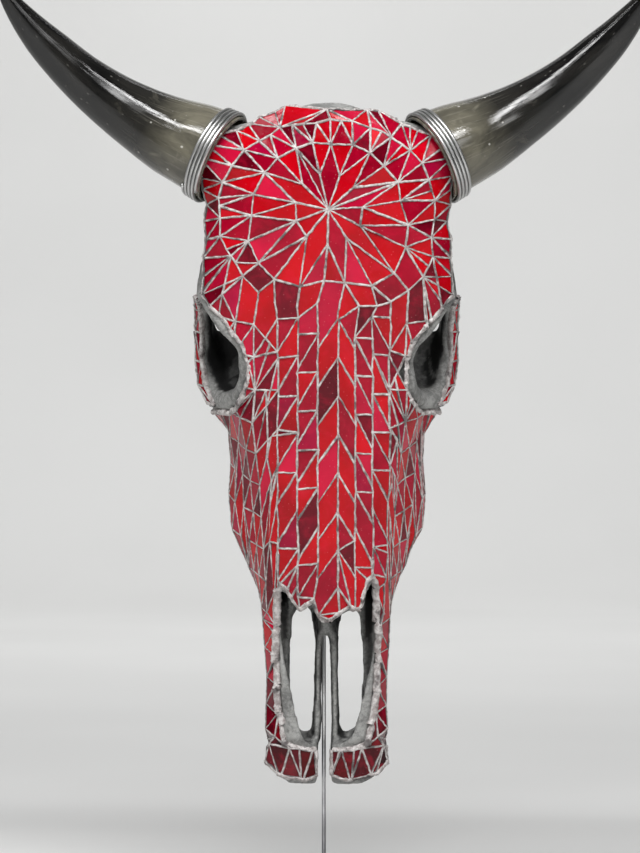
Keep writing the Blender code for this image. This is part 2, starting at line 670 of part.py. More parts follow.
def glass_mosaic(skull, parts):
    """The layer of flat glass tiles and grout over the front and the sides of the bone."""
    skin = Skin()
    tiling = Tiling(skin)
    tiling.star()
    tiling.columns()
    tiling.chin()
    outline = glass_edge(skin)
    points = list(tiling.points)
    pairs = list(tiling.pairs)
    start = len(points)
    points += [Vector(p) for p in outline]
    pairs += [(start + k, start + (k + 1) % len(outline)) for k in range(len(outline))]
    bm = bmesh.new()
    bm.from_mesh(skull.data)
    bvh = BVHTree.FromBMesh(bm)
    bm.free()
    for _ in range(REFINEMENTS):
        flat, _, faces, *_ = delaunay_2d_cdt(points, pairs, [], 0, 0.05)
        kept = []
        for face in faces:
            middle = sum((flat[k] for k in face), Vector((0, 0))) / len(face)
            if inside(middle, outline):
                kept.append(face)
        skins = {}
        for k in {k for face in kept for k in face}:
            place = skin.point(*flat[k]) * MM
            out = skin.normal(*flat[k])
            hit = bvh.ray_cast(place + out * 30 * MM, -out, 60 * MM)[0]
            if hit is None or (hit - place).length > 12 * MM:
                hit = bvh.find_nearest(place)[0]
            skins[k] = [hit + out * BED_GAP, out]
        deep = []
        for face in kept:
            worst = max(shortfalls(face, skins, bvh))
            if worst[0] > REFINE_DEPTH:
                share = worst[1]
                deep.append(sum((flat[k] * part for k, part in zip(face, share)), Vector((0, 0))))
        if not deep:
            break
        points += deep
    raise_off(skins, kept, bvh)
    bm = bmesh.new()
    beds = {k: bm.verts.new(place) for k, (place, out) in skins.items()}
    tops = {k: bm.verts.new(place + out * GLASS) for k, (place, out) in skins.items()}
    rims = {}
    for face in kept:
        bm.faces.new([tops[k] for k in face])
        bm.faces.new([beds[k] for k in reversed(face)])
        for a, b in zip(face, face[1:] + face[:1]):
            rims[(a, b)] = True
    for a, b in rims:
        if (b, a) not in rims:
            bm.faces.new((tops[b], tops[a], beds[a], beds[b]))
    return mesh_object("glass_mosaic", bm, parts)


# Places tested on a tile, as shares of its three corners
SHARES = [(a / 6, b / 6, (6 - a - b) / 6) for a in range(7) for b in range(7 - a)]


def shortfalls(face, skins, bvh):
    """How far the bone comes through the underside of a tile, at each tested place."""
    found = []
    for share in SHARES:
        place = sum((skins[k][0] * part for k, part in zip(face, share)), Vector((0, 0, 0)))
        out = sum((skins[k][1] * part for k, part in zip(face, share)), Vector((0, 0, 0))).normalized()
        hit, normal = bvh.ray_cast(place + out * 4 * MM, -out, 6 * MM)[:2]
        short = -1.0
        if hit is not None and normal.dot(out) > 0:
            short = CLEARANCE - (place - hit).dot(out)
        found.append((short, share))
    return found


def raise_off(skins, faces, bvh):
    """Lifts the corners of flat tiles until the tiles lie clear of the bone, up to a limit."""
    start = {k: place.copy() for k, (place, out) in skins.items()}
    for _ in range(12):
        lift = {}
        for face in faces:
            for short, share in shortfalls(face, skins, bvh):
                if short > 0:
                    for k, part in zip(face, share):
                        if part > 0.1:
                            lift[k] = max(lift.get(k, 0), short)
        if not lift:
            break
        for k, height in lift.items():
            if (skins[k][0] - start[k]).length < RAISE_LIMIT:
                skins[k][0] = skins[k][0] + skins[k][1] * height


def swollen(obj, reach, collection):
    """A copy of a body whose surface stands out all round by the given reach."""
    copy = link(bpy.data.objects.new("swollen", obj.data.copy()), collection)
    bm = bmesh.new()
    bm.from_mesh(copy.data)
    bm.normal_update()
    moved = {v: v.co + v.normal * reach * v.calc_shell_factor() for v in bm.verts}
    for vertex, place in moved.items():
        vertex.co = place
    bm.to_mesh(copy.data)
    bm.free()
    return copy


HORN_AXIS = [
    (73.5, 32, 460.5), (90, 38.5, 468), (111, 46.5, 476), (132.5, 51.5, 487), (154, 53.5, 500.5),
    (175, 52.5, 517), (196, 49, 537.5), (208, 45, 551), (219, 40.5, 565.5), (227, 36.5, 578), (233, 33, 589.5),
]
HORN_RADII = [33, 31.5, 28.2, 24, 20.4, 17.2, 14.2, 11.5, 8.2, 5, 1.5]
HOLLOW_AXIS = [
    (60, 27, 454), (73.5, 32, 460.5), (90, 38.5, 468), (111, 46.5, 476), (132.5, 51.5, 487), (147, 53, 496),
]
HOLLOW_RADII = [31.2, 31.2, 28, 23, 17.8, 12]


def horn(side, name, parts):
    """One horn sheath, hollow from its mouth over the bony core."""
    sheath = tube(name, [(side * x, y, z) for x, y, z in HORN_AXIS], HORN_RADII, parts, 1, sides=4)
    hollow = tube("hollow", [(side * x, y, z) for x, y, z in HOLLOW_AXIS], HOLLOW_RADII, parts, 1, sides=4)
    cut(sheath, [hollow])
    bpy.data.objects.remove(hollow, do_unlink=True)
    return sheath


def binding(side, name, parts):
    """The wire wound round the mouth of one horn."""
    mouth = Vector(HORN_AXIS[0]) * MM
    axis = (Vector(HORN_AXIS[1]) - Vector(HORN_AXIS[0])).normalized()
    mouth.x *= side
    axis.x *= side
    first = axis.orthogonal().normalized()
    second = axis.cross(first)
    around = WIRE_SIDES
    taper = (HORN_RADII[0] - HORN_RADII[1]) / (Vector(HORN_AXIS[1]) - Vector(HORN_AXIS[0])).length
    curve = bpy.data.curves.new(name, "CURVE")
    curve.dimensions = "3D"
    curve.bevel_depth = WIRE
    curve.bevel_resolution = 1
    curve.use_fill_caps = True
    line = curve.splines.new("POLY")
    line.points.add(WIRE_TURNS * around)
    for k, point in enumerate(line.points):
        along = 1.6 * MM + k / around * (2 * WIRE + CLEARANCE)
        radius = HORN_RADII[0] * MM - taper * along + CLEARANCE + WIRE
        radius /= math.cos(math.pi / around)
        angle = math.tau * k / around
        place = mouth + axis * along + (first * math.cos(angle) + second * math.sin(angle)) * radius
        point.co = (*place, 1)
    guide = link(bpy.data.objects.new(name, curve), parts)
    return solid_of_curve(guide, parts)


# Cheek teeth from the front of the row to its back, mm: (length, breadth)
TEETH = [(13, 12), (17, 15), (18, 18), (23, 20), (27, 21), (26, 20)]
TOOTH_ROW = (166, 296)  # heights of the two ends of the row
TOOTH_SPACE = 0.8
TOOTH_DEPTH = 22
SOCKET_ROOM = 0.4


def tooth_place(side, height):
    """The middle of a tooth at a height in the row, which bows out and follows the palate back."""
    part = (height - TOOTH_ROW[0]) / (TOOTH_ROW[1] - TOOTH_ROW[0])
    across = 41 + 5 * math.sin(math.pi * (0.2 + 0.7 * part))
    return Vector((side * across, 84 + 34 * part - 9 * part * part, height))


def tooth(name, middle, size, grow, parts):
    """One cheek tooth, or its socket when it is grown a little."""
    length, breadth = size
    bm = bmesh.new()
    bmesh.ops.create_cube(bm, size=1)
    scale = Vector((breadth + 2 * grow, TOOTH_DEPTH + 2 * grow, length + 3 * grow)) * MM
    bmesh.ops.scale(bm, vec=scale, verts=bm.verts)
    upright = [e for e in bm.edges if abs((e.verts[0].co - e.verts[1].co).normalized().y) > 0.9]
    bmesh.ops.bevel(bm, geom=upright, offset=3 * MM, segments=1, affect="EDGES", profile=0.5, material=-1)
    bmesh.ops.translate(bm, verts=bm.verts, vec=middle * MM)
    return mesh_object(name, bm, parts)


def cheek_teeth(skull, parts):
    """Both rows of upper cheek teeth, with their sockets cut in the bone."""
    made = []
    start = TOOTH_ROW[0]
    for number, size in enumerate(TEETH, 1):
        height = start + size[0] / 2
        start += size[0] + TOOTH_SPACE
        for side, word in ((-1, "left"), (1, "right")):
            place = tooth_place(side, height)
            made.append(tooth(f"cheek_tooth_{word}_{number}", place, size, 0, parts))
            socket = tooth("socket", place, size, SOCKET_ROOM, parts)
            cut(skull, [socket])
            bpy.data.objects.remove(socket, do_unlink=True)
    return made


def cylinder(name, radius, low, high, parts, segments=12, place=ROD_PLACE):
    """An upright round bar."""
    bm = bmesh.new()
    bmesh.ops.create_cone(bm, cap_ends=True, segments=segments, radius1=radius, radius2=radius,
                          depth=high - low)
    bmesh.ops.translate(bm, verts=bm.verts, vec=(place.x, place.y, (low + high) / 2))
    return mesh_object(name, bm, parts)


def stand(parts):
    """The round base plate and the thin rod in it."""
    base = cylinder("stand_base", BASE_RADIUS, 0, BASE_HEIGHT, parts, 40, Vector((0, 0)))
    bevel = base.modifiers.new("edge", "BEVEL")
    bevel.width = 0.8 * MM
    bevel.segments = 1
    bevel.limit_method = "ANGLE"
    baked(base)
    hole = cylinder("hole", ROD_RADIUS + CLEARANCE, ROD_FOOT - CLEARANCE, 2 * BASE_HEIGHT, parts)
    cut(base, [hole])
    bpy.data.objects.remove(hole, do_unlink=True)
    return [base, cylinder("stand_rod", ROD_RADIUS, ROD_FOOT, ROD_TIP, parts)]


def rod_hole(skull, frame, parts):
    """Cuts the way of the rod through the fissure and up into the bone."""
    hole = cylinder("rod_hole", ROD_RADIUS + 1.5 * CLEARANCE, SKULL_FOOT.z - 20 * MM,
                    ROD_TIP + CLEARANCE, parts)
    hole.data.transform(frame.inverted())
    cut(skull, [hole])
    bpy.data.objects.remove(hole, do_unlink=True)


FINISHES = {
    "skull": ((0.22, 0.22, 0.21), 0.7, 0.0),
    "glass_mosaic": ((0.45, 0.01, 0.03), 0.15, 0.0),
    "horn": ((0.07, 0.06, 0.05), 0.25, 0.0),
    "binding": ((0.6, 0.6, 0.6), 0.35, 1.0),
    "cheek_tooth": ((0.55, 0.5, 0.4), 0.4, 0.0),
    "stand": ((0.35, 0.35, 0.35), 0.35, 1.0),
}


def dress(obj):
    """Gives an object its own material and its shading."""
    colour, roughness, metallic = next(v for k, v in FINISHES.items() if obj.name.startswith(k))
    material = bpy.data.materials.new(obj.name)
    material.use_nodes = True
    shader = material.node_tree.nodes["Principled BSDF"]
    shader.inputs["Base Color"].default_value = (*colour, 1)
    shader.inputs["Roughness"].default_value = roughness
    shader.inputs["Metallic"].default_value = metallic
    material.diffuse_color = (*colour, 1)
    obj.data.materials.clear()
    obj.data.materials.append(material)
    round_piece = obj.name.startswith(("horn", "binding", "stand_rod", "skull"))
    for face in obj.data.polygons:
        face.use_smooth = round_piece


def build():
    """Builds the object."""
    clear_scene()
    parts = bpy.data.collections.new("decorated_cow_skull")
    bpy.context.scene.collection.children.link(parts)
    frame = Matrix.Translation(SKULL_FOOT) @ Matrix.Rotation(FACE_LEAN, 4, "X")
    skull = skull_bone(parts)
    glass = glass_mosaic(skull, parts)
    bed = swollen(glass, BED_GAP / 2, parts)
    cut(skull, [bed])
    bpy.data.objects.remove(bed, do_unlink=True)
    pieces = [glass, *cheek_teeth(skull, parts)]
    rod_hole(skull, frame, parts)
    drop_chips(skull)
    for side, word in ((-1, "left"), (1, "right")):
        pieces.append(horn(side, "horn_" + word, parts))
        pieces.append(binding(side, "binding_" + word, parts))
    for piece in (skull, *pieces):
        piece.data.transform(frame)
    for piece in (skull, *pieces, *stand(parts)):
        dress(piece)


build()
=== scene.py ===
"""The looks of the decorated cow skull: bone, glass mosaic, horns, wire, teeth and stand."""
import logging
import math
from dataclasses import dataclass
from enum import Enum
from random import Random

import bmesh
import bpy
from mathutils import Matrix, Vector, noise
from mathutils.bvhtree import BVHTree
from mathutils.geometry import delaunay_2d_cdt


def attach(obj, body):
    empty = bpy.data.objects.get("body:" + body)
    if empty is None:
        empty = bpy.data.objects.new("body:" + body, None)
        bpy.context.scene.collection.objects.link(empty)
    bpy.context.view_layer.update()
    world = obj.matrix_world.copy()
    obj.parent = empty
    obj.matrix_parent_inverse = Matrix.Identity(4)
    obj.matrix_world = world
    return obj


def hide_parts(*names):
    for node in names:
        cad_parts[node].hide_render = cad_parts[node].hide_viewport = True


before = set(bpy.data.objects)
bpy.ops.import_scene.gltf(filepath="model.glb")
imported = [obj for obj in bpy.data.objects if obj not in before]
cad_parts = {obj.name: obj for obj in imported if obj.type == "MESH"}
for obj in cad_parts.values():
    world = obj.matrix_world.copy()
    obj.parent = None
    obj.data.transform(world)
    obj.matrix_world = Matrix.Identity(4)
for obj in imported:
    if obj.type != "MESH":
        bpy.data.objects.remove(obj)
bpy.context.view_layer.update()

log = logging.getLogger("skull")
MM = 0.001
NOISE_SEED = 1  # without it the vector noise is shifted by the clock, and differs from run to run
WELD = 1e-6  # vertices nearer than this are joined, in metres
Triple = tuple[float, float, float]
Tint = tuple[float, float, float, float]
Outline = list[tuple[float, float]]
Cell = list[int]
Socket = bpy.types.NodeSocket
Mesh = bmesh.types.BMesh
Object = bpy.types.Object
Material = bpy.types.Material

FACE_LEAN = math.radians(12)
SKULL_FOOT = Vector((0, 16.5, 76)) * MM
STANDING = Matrix.Translation(SKULL_FOOT) @ Matrix.Rotation(FACE_LEAN, 4, "X")
ROD_PLACE = Vector((-2, 30)) * MM
ROD_TIP = 247 * MM
BASE_HEIGHT = 8 * MM
BASE_RADIUS = 100 * MM


class Slot(Enum):
    """The material slots."""

    BONE = "bone"
    TILE_GLASS = "tile_glass"
    HORN = "horn"
    WIRE = "wire"
    ENAMEL = "enamel"
    STAND_STEEL = "stand_steel"


class Value:
    """A number socket with arithmetic that adds its Math nodes."""

    def __init__(self, shader: "Shader", socket: Socket) -> None:
        """Keeps the socket and the shader that it belongs to."""
        self.shader = shader
        self.socket = socket

    def _math(self, operation: str, first: "Value | float", second: "Value | float") -> "Value":
        """Adds one Math node.

        Args:
            operation: The node's operation.
            first: The first operand.
            second: The second operand.

        Returns:
            The result as a value.
        """
        node = self.shader.node("ShaderNodeMath", {"operation": operation}, {0: first, 1: second})
        return Value(self.shader, node.outputs[0])

    def __add__(self, other: "Value | float") -> "Value":
        """Sum."""
        return self._math("ADD", self, other)

    __radd__ = __add__

    def __sub__(self, other: "Value | float") -> "Value":
        """Difference."""
        return self._math("SUBTRACT", self, other)

    def __mul__(self, other: "Value | float") -> "Value":
        """Product."""
        return self._math("MULTIPLY", self, other)

    __rmul__ = __mul__

    def most(self, other: "Value | float") -> "Value":
        """The larger of two values."""
        return self._math("MAXIMUM", self, other)

    def ramp(self, low: float, high: float, start: float = 0.0, end: float = 1.0) -> "Value":
        """Maps a range to another smoothly, and holds it at both ends.

        Args:
            low: Value that maps to start.
            high: Value that maps to end.
            start: Result at low.
            end: Result at high.

        Returns:
            The mapped value.
        """
        node = self.shader.node("ShaderNodeMapRange", {"interpolation_type": "SMOOTHSTEP"},
                                {"Value": self, "From Min": low, "From Max": high,
                                 "To Min": start, "To Max": end})
        return Value(self.shader, node.outputs[0])


class Shader:
    """One material under construction."""

    def __init__(self, name: str) -> None:
        """Makes an empty material with its main shader."""
        self.material = bpy.data.materials.new(name)
        self.material.use_nodes = True
        self.tree = self.material.node_tree
        self.tree.nodes.clear()
        output = self.node("ShaderNodeOutputMaterial")
        self.main = self.node("ShaderNodeBsdfPrincipled")
        self.tree.links.new(self.main.outputs[0], output.inputs["Surface"])

    def node(self, kind: str, settings: dict | None = None,
             inputs: dict | None = None) -> bpy.types.Node:
        """Adds a node.

        Args:
            kind: The node's type.
            settings: Its properties, set before its sockets.
            inputs: Socket names or numbers with values or links.

        Returns:
            The node.
        """
        made = self.tree.nodes.new(kind)
        for key, value in (settings or {}).items():
            if key == "stops":
                ramp = made.color_ramp
                while len(ramp.elements) < len(value):
                    ramp.elements.new(0.5)
                for stop, (place, colour) in zip(ramp.elements, value):
                    stop.position = place
                    stop.color = (*colour, 1.0)
            else:
                setattr(made, key, value)
        for key, value in (inputs or {}).items():
            self.feed(made.inputs[key], value)
        return made

    def feed(self, socket: Socket, value: object) -> None:
        """Links or sets one socket."""
        if isinstance(value, Value):
            self.tree.links.new(value.socket, socket)
        elif isinstance(value, Socket):
            self.tree.links.new(value, socket)
        elif isinstance(value, tuple) and len(value) == 3 and socket.type == "RGBA":
            socket.default_value = (*value, 1.0)
        else:
            socket.default_value = value

    def set(self, **values: object) -> None:
        """Sets or links the main shader's sockets, named with underscores for spaces."""
        for key, value in values.items():
            self.feed(self.main.inputs[key.replace("_", " ").title().replace("Ior", "IOR")], value)

    def place(self, scale: Triple = (1, 1, 1),
              source: str = "Object") -> Socket:
        """Coordinates stretched by a Mapping node.

        Args:
            scale: The stretch along each axis.
            source: The output of the Texture Coordinate node.

        Returns:
            The coordinates.
        """
        coords = self.node("ShaderNodeTexCoord")
        mapping = self.node("ShaderNodeMapping", None,
                            {"Vector": coords.outputs[source], "Scale": scale})
        return mapping.outputs[0]

    def noise(self, where: Socket, scale: float, detail: float = 3.0,
              roughness: float = 0.55, bend: float = 0.0) -> Value:
        """A noise pattern between 0 and 1.

        Args:
            where: Its coordinates.
            scale: Features to the metre.
            detail: Octaves.
            roughness: Strength of the finer octaves.
            bend: Distortion.

        Returns:
            The pattern.
        """
        node = self.node("ShaderNodeTexNoise", None,
                         {"Vector": where, "Scale": scale, "Detail": detail,
                          "Roughness": roughness, "Distortion": bend})
        return Value(self, node.outputs[0])

    def pits(self, where: Socket, scale: float) -> Value:
        """Distance to the nearest of scattered points, in cells."""
        node = self.node("ShaderNodeTexVoronoi", {"feature": "F1"},
                         {"Vector": where, "Scale": scale})
        return Value(self, node.outputs["Distance"])

    def attribute(self, name: str) -> bpy.types.Node:
        """The node that reads a named attribute of the mesh."""
        return self.node("ShaderNodeAttribute", {"attribute_name": name})

    def blend(self, share: Value | float, first: object, second: object,
              mode: str = "MIX") -> Socket:
        """Mixes two colours.

        Args:
            share: Share of the second.
            first: First colour or link.
            second: Second colour or link.
            mode: How they mix.

        Returns:
            The mixed colour.
        """
        node = self.node("ShaderNodeMix", {"data_type": "RGBA", "blend_type": mode})
        self.feed(node.inputs[0], share)
        self.feed(node.inputs[6], first)
        self.feed(node.inputs[7], second)
        return node.outputs[2]

    def bump(self, height: Value, strength: float, distance: float) -> None:
        """Feeds a bump made from a height to the main shader."""
        node = self.node("ShaderNodeBump", None, {"Height": height, "Strength": strength,
                                                  "Distance": distance})
        self.tree.links.new(node.outputs[0], self.main.inputs["Normal"])


@dataclass(frozen=True)
class BoneFinish:
    """Grey painted bone, mottled, with painted shade in its hollows that also stands for their dark
    paint.
    """

    pale: Triple = (0.40, 0.40, 0.385)
    grey: Triple = (0.155, 0.155, 0.15)
    # near black of the painted shade in the hollows, which also stands for their dark paint
    dark: Triple = (0.005, 0.005, 0.005)

    def make(self) -> Material:
        """Builds the material."""
        shader = Shader("bone")
        where = shader.place()
        coarse = shader.noise(where, 55, 6, 0.65)
        fine = shader.noise(where, 420, 4, 0.7)
        mottle = (coarse * 0.6 + fine * 0.4).ramp(0.38, 0.62)
        colour = shader.blend(mottle, self.grey, self.pale)
        # Painted shade: the hollow value darkens enclosed places toward near black, standing also
        # for their dark paint.
        hollow = Value(shader, shader.attribute("hollow").outputs["Fac"])
        colour = shader.blend(hollow, colour, self.dark)
        grain = shader.noise(where, 900, 3, 0.6)
        shader.set(base_color=colour, roughness=0.68)
        shader.bump(coarse * 0.5 + fine * 0.35 + grain * 0.15, 0.55, 1.2 * MM)
        return shader.material


@dataclass(frozen=True)
class GlassFinish:
    """Coloured glass tiles, each with its own tint and a faint wisp."""

    gloss: float = 0.07

    def make(self) -> Material:
        """Builds the material."""
        shader = Shader("tile_glass")
        where = shader.place()
        tint = shader.attribute("tint").outputs["Color"]
        wisps = shader.noise(where, 70, 5, 0.6, 1.2).ramp(0.42, 0.72)
        shade = shader.noise(where, 28, 2, 0.5).ramp(0.35, 0.7)
        colour = shader.blend(shade * 0.65, tint, (0.55, 0.50, 0.55), "MULTIPLY")
        colour = shader.blend(wisps * 0.22, colour, (0.75, 0.01, 0.05))
        specks = shader.pits(where, 260).ramp(0.05, 0.16, 1.0, 0.0)
        colour = shader.blend(specks * 0.2, colour, (0.8, 0.25, 0.3))
        rough = shader.noise(where, 160, 3, 0.6).ramp(0.3, 0.8, self.gloss, self.gloss + 0.1)
        shader.set(base_color=colour, roughness=rough)
        shader.main.inputs["Specular IOR Level"].default_value = 0.24
        shader.bump(shader.noise(where, 60, 2, 0.5), 0.22, 1.6 * MM)
        return shader.material


@dataclass(frozen=True)
class GroutFinish:
    """Light grey grout, lumpy, with painted shadow along its feet and dark dirt spots."""

    pale: Triple = (0.70, 0.67, 0.655)
    warm: Triple = (0.33, 0.29, 0.28)
    # colour of the painted shadow along the feet and of the dirt spots
    dark: Triple = (0.045, 0.035, 0.037)

    def make(self) -> Material:
        """Builds the material."""
        shader = Shader("grout")
        where = shader.place()
        mottle = shader.noise(where, 260, 4, 0.65).ramp(0.36, 0.64)
        colour = shader.blend(mottle, self.warm, self.pale)
        dirt = shader.noise(where, 75, 5, 0.65).ramp(0.53, 0.64)
        # Painted shadow: the foot value darkens the lower sides of each bead; the dirt noise adds
        # real dark spots.
        foot = Value(shader, shader.attribute("foot").outputs["Fac"])
        shadow_and_dirt = (foot.ramp(0.25, 0.75) * 0.92).most(dirt * 0.8)
        colour = shader.blend(shadow_and_dirt, colour, self.dark)
        shader.set(base_color=colour, roughness=0.62)
        shader.bump(shader.noise(where, 700, 4, 0.65), 0.7, 0.7 * MM)
        return shader.material


@dataclass(frozen=True)
class HornFinish:
    """Polished horn, olive grey at the mouth and black toward the tip, with lengthwise fibres."""

    length: float = 0.25

    def make(self) -> Material:
        """Builds the material."""
        shader = Shader("horn")
        along = shader.node("ShaderNodeSeparateXYZ", None, {0: shader.place(source="UV")})
        run = Value(shader, along.outputs[1]) * (1 / self.length)
        wavy = shader.place((9, 34, 1), "UV")
        fibres = shader.noise(shader.place((130, 26, 1), "UV"), 1.0, 5, 0.6, 0.3)
        broad = shader.noise(shader.place((7, 16, 1), "UV"), 1.0, 4, 0.6, 0.6)
        clouds = shader.noise(wavy, 1.0, 4, 0.6, 0.5)
        ramp = shader.node("ShaderNodeValToRGB", {"stops": [
            (0.0, (0.20, 0.185, 0.14)), (0.12, (0.15, 0.14, 0.105)), (0.24, (0.022, 0.021, 0.018)),
            (0.42, (0.003, 0.003, 0.003)), (1.0, (0.002, 0.002, 0.002))]}, {"Fac": run})
        colour = shader.blend(broad.ramp(0.38, 0.66) * 0.7, ramp.outputs[0], (0.018, 0.017, 0.015))
        colour = shader.blend(fibres.ramp(0.54, 0.7) * run.ramp(0.1, 0.35, 0.35, 0.035), colour,
                              (0.30, 0.28, 0.23))
        colour = shader.blend(clouds.ramp(0.58, 0.72) * run.ramp(0.1, 0.4, 0.4, 0.02), colour,
                              (0.3, 0.28, 0.22))
        specks = shader.pits(shader.place((22, 95, 1), "UV"), 1.0).ramp(0.05, 0.13, 1.0, 0.0)
        near = run.ramp(0.05, 0.5, 1.0, 0.12)
        colour = shader.blend(specks * near * 0.8, colour, (0.62, 0.60, 0.55))
        rough = (broad.ramp(0.3, 0.7) * 0.06 + fibres.ramp(0.4, 0.75) * 0.06) + 0.05
        shader.set(base_color=colour, roughness=rough, specular_ior_level=0.6)
        shader.bump(fibres * 0.6 + broad * 0.4, 0.22, 0.8 * MM)
        return shader.material


@dataclass(frozen=True)
class MetalFinish:
    """Bare metal with fine lengthwise scratches and dull patches."""

    name: str
    colour: Triple = (0.62, 0.62, 0.61)
    rough: float = 0.28
    grain: float = 900.0

    def make(self) -> Material:
        """Builds the material."""
        shader = Shader(self.name)
        where = shader.place()
        patch = shader.noise(where, 60, 4, 0.6)
        fine = shader.noise(where, self.grain, 2, 0.5)
        worn = tuple(part * 0.6 for part in self.colour)
        colour = shader.blend(patch.ramp(0.35, 0.7) * 0.6, self.colour, worn)
        rough = patch.ramp(0.3, 0.7) * 0.14 + fine * 0.08 + self.rough
        shader.set(base_color=colour, roughness=rough)
        shader.main.inputs["Metallic"].default_value = 1.0
        shader.bump(fine, 0.12, 0.2 * MM)
        return shader.material


@dataclass(frozen=True)
class EnamelFinish:
    """Old cheek teeth, cream at the crown and brown in their furrows."""

    cream: Triple = (0.58, 0.52, 0.40)
    brown: Triple = (0.13, 0.085, 0.045)

    def make(self) -> Material:
        """Builds the material."""
        shader = Shader("enamel")
        streaks = shader.noise(shader.place((420, 70, 420)), 1.0, 4, 0.6)
        stain = shader.noise(shader.place(), 120, 4, 0.6)
        furrow = Value(shader, shader.attribute("furrow").outputs["Fac"])
        share = (streaks.ramp(0.45, 0.7) * 0.4 + stain.ramp(0.5, 0.72) * 0.35).most(furrow)
        shader.set(base_color=shader.blend(share, self.cream, self.brown), roughness=0.36)
        shader.bump(streaks, 0.3, 0.5 * MM)
        return shader.material


@dataclass(frozen=True)
class PaperFinish:
    """The pale seamless backdrop."""

    def make(self) -> Material:
        """Builds the material."""
        shader = Shader("backdrop")
        tone = shader.noise(shader.place(), 1.5, 2, 0.5).ramp(0.3, 0.7)
        colour = shader.blend(tone, (0.80, 0.80, 0.79), (0.83, 0.83, 0.82))
        shader.set(base_color=colour, roughness=0.8)
        return shader.material


def closed_pairs(row: list) -> list[tuple]:
    """Each item of a closed row with the one after it."""
    return list(zip(row, row[1:] + row[:1]))


def link(obj: Object) -> Object:
    """Puts an object in the scene, and returns it."""
    bpy.context.scene.collection.objects.link(obj)
    return obj


def welded(mesh: bpy.types.Mesh) -> Mesh:
    """A mesh with its doubled vertices joined and its normals outward."""
    bm = bmesh.new()
    bm.from_mesh(mesh)
    bmesh.ops.remove_doubles(bm, verts=bm.verts, dist=WELD)
    bmesh.ops.recalc_face_normals(bm, faces=bm.faces)
    return bm


def extruded(bm: Mesh, edges: list) -> tuple[list, list]:
    """Extrudes edges, and returns the new vertices and the new edges."""
    geom = bmesh.ops.extrude_edge_only(bm, edges=edges)["geom"]
    return ([part for part in geom if isinstance(part, bmesh.types.BMVert)],
            [part for part in geom if isinstance(part, bmesh.types.BMEdge)])


def put(name: str, bm: Mesh, material: Material, smooth: bool) -> Object:
    """Makes an object from a mesh in world metres.

    Args:
        name: The piece's name.
        bm: Its mesh, which is freed.
        material: Its finish.
        smooth: Whether its faces are shaded smooth.

    Returns:
        The object.
    """
    for face in bm.faces:
        face.smooth = smooth
    mesh = bpy.data.meshes.new(name)
    bm.to_mesh(mesh)
    bm.free()
    mesh.materials.append(material)
    return link(bpy.data.objects.new(name, mesh))


def mount(obj: Object, slot: Slot, *nodes: str) -> None:
    """Sets a piece on the one body and hides the CAD nodes that it stands for."""
    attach(obj, "root")
    if nodes:
        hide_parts(*nodes)
    log.info("%s: %d faces", obj.name, len(obj.data.polygons))


class Gather:
    """Many small meshes on their way into one piece, with one value for each vertex or face."""

    def __init__(self) -> None:
        """Starts empty."""
        self.places: list[Triple] = []
        self.faces: list[Cell] = []
        self.shares: list[float] = []
        self.tints: list[Tint] = []

    def take(self, bm: Mesh, share: str = "",
             tint: Tint | None = None) -> None:
        """Adds a small mesh and frees it.

        Args:
            bm: The mesh.
            share: Name of its vertex value, if it has one.
            tint: The colour of its faces, if they have one.
        """
        start = len(self.places)
        bmesh.ops.recalc_face_normals(bm, faces=bm.faces)
        bm.verts.index_update()
        layer = bm.verts.layers.float.get(share) if share else None
        for vertex in bm.verts:
            self.places.append(tuple(vertex.co))
            self.shares.append(vertex[layer] if layer else 0.0)
        for face in bm.faces:
            self.faces.append([vertex.index + start for vertex in face.verts])
            if tint:
                self.tints.append(tint)
        bm.free()

    def mesh(self, share: str = "", tint: str = "") -> Mesh:
        """Everything taken, as one mesh.

        Args:
            share: Name for the vertex value.
            tint: Name for the face colour.

        Returns:
            The mesh.
        """
        data = bpy.data.meshes.new("gathered")
        data.from_pydata(self.places, [], self.faces)
        if share:
            data.attributes.new(share, "FLOAT", "POINT").data.foreach_set("value", self.shares)
        bm = bmesh.new()
        bm.from_mesh(data)
        bpy.data.meshes.remove(data)
        if tint:
            layer = bm.loops.layers.float_color.new(tint)
            for face, colour in zip(bm.faces, self.tints):
                for loop in face.loops:
                    loop[layer] = colour
        return bm


def bake(obj: Object) -> None:
    """Gives an object the mesh that its modifiers make, and drops them."""
    graph = bpy.context.evaluated_depsgraph_get()
    mesh = bpy.data.meshes.new_from_object(obj.evaluated_get(graph))
    obj.modifiers.clear()
    obj.data = mesh


def node_tree(name: str) -> BVHTree:
    """A search tree of one CAD node's faces."""
    bm = welded(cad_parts[name].data)
    tree = BVHTree.FromBMesh(bm)
    bm.free()
    return tree


def spline(points: list, steps: int, closed: bool = False) -> list[Vector]:
    """Points on a smooth curve through the given ones.

    Args:
        points: The points.
        steps: Pieces between two points.
        closed: Whether the curve runs back to its start.

    Returns:
        Points along the curve.
    """
    points = [Vector(p) for p in points]
    count = len(points)
    made = []
    for i in range(count if closed else count - 1):
        if closed:
            a, b, c, d = (points[(i + k) % count] for k in (-1, 0, 1, 2))
        else:
            a, b, c, d = (points[min(max(i + k, 0), count - 1)] for k in (-1, 0, 1, 2))
        for step in range(steps):
            t = step / steps
            made.append(0.5 * ((2 * b) + (c - a) * t + (2 * a - 5 * b + 4 * c - d) * t * t
                               + (3 * b - 3 * c + d - a) * t * t * t))
    if not closed:
        made.append(points[-1])
    return made


def loft_lines(stations: list, around: int = 4, along: int = 3) -> list[list[Vector]]:
    """Lines up a body through mirrored half outlines.

    Args:
        stations: Each (height, [(x, y) from front to back]), in mm.
        around: Steps between two corners of an outline.
        along: Steps between two outlines.

    Returns:
        One line of points for every place round the body.
    """
    rings = []
    for height, half in stations:
        whole = list(half) + [(-x, y) for x, y in reversed(half[1:-1])]
        rings.append(spline([(x, y, height) for x, y in whole], around, closed=True))
    return [spline([ring[k] for ring in rings], along) for k in range(len(rings[0]))]


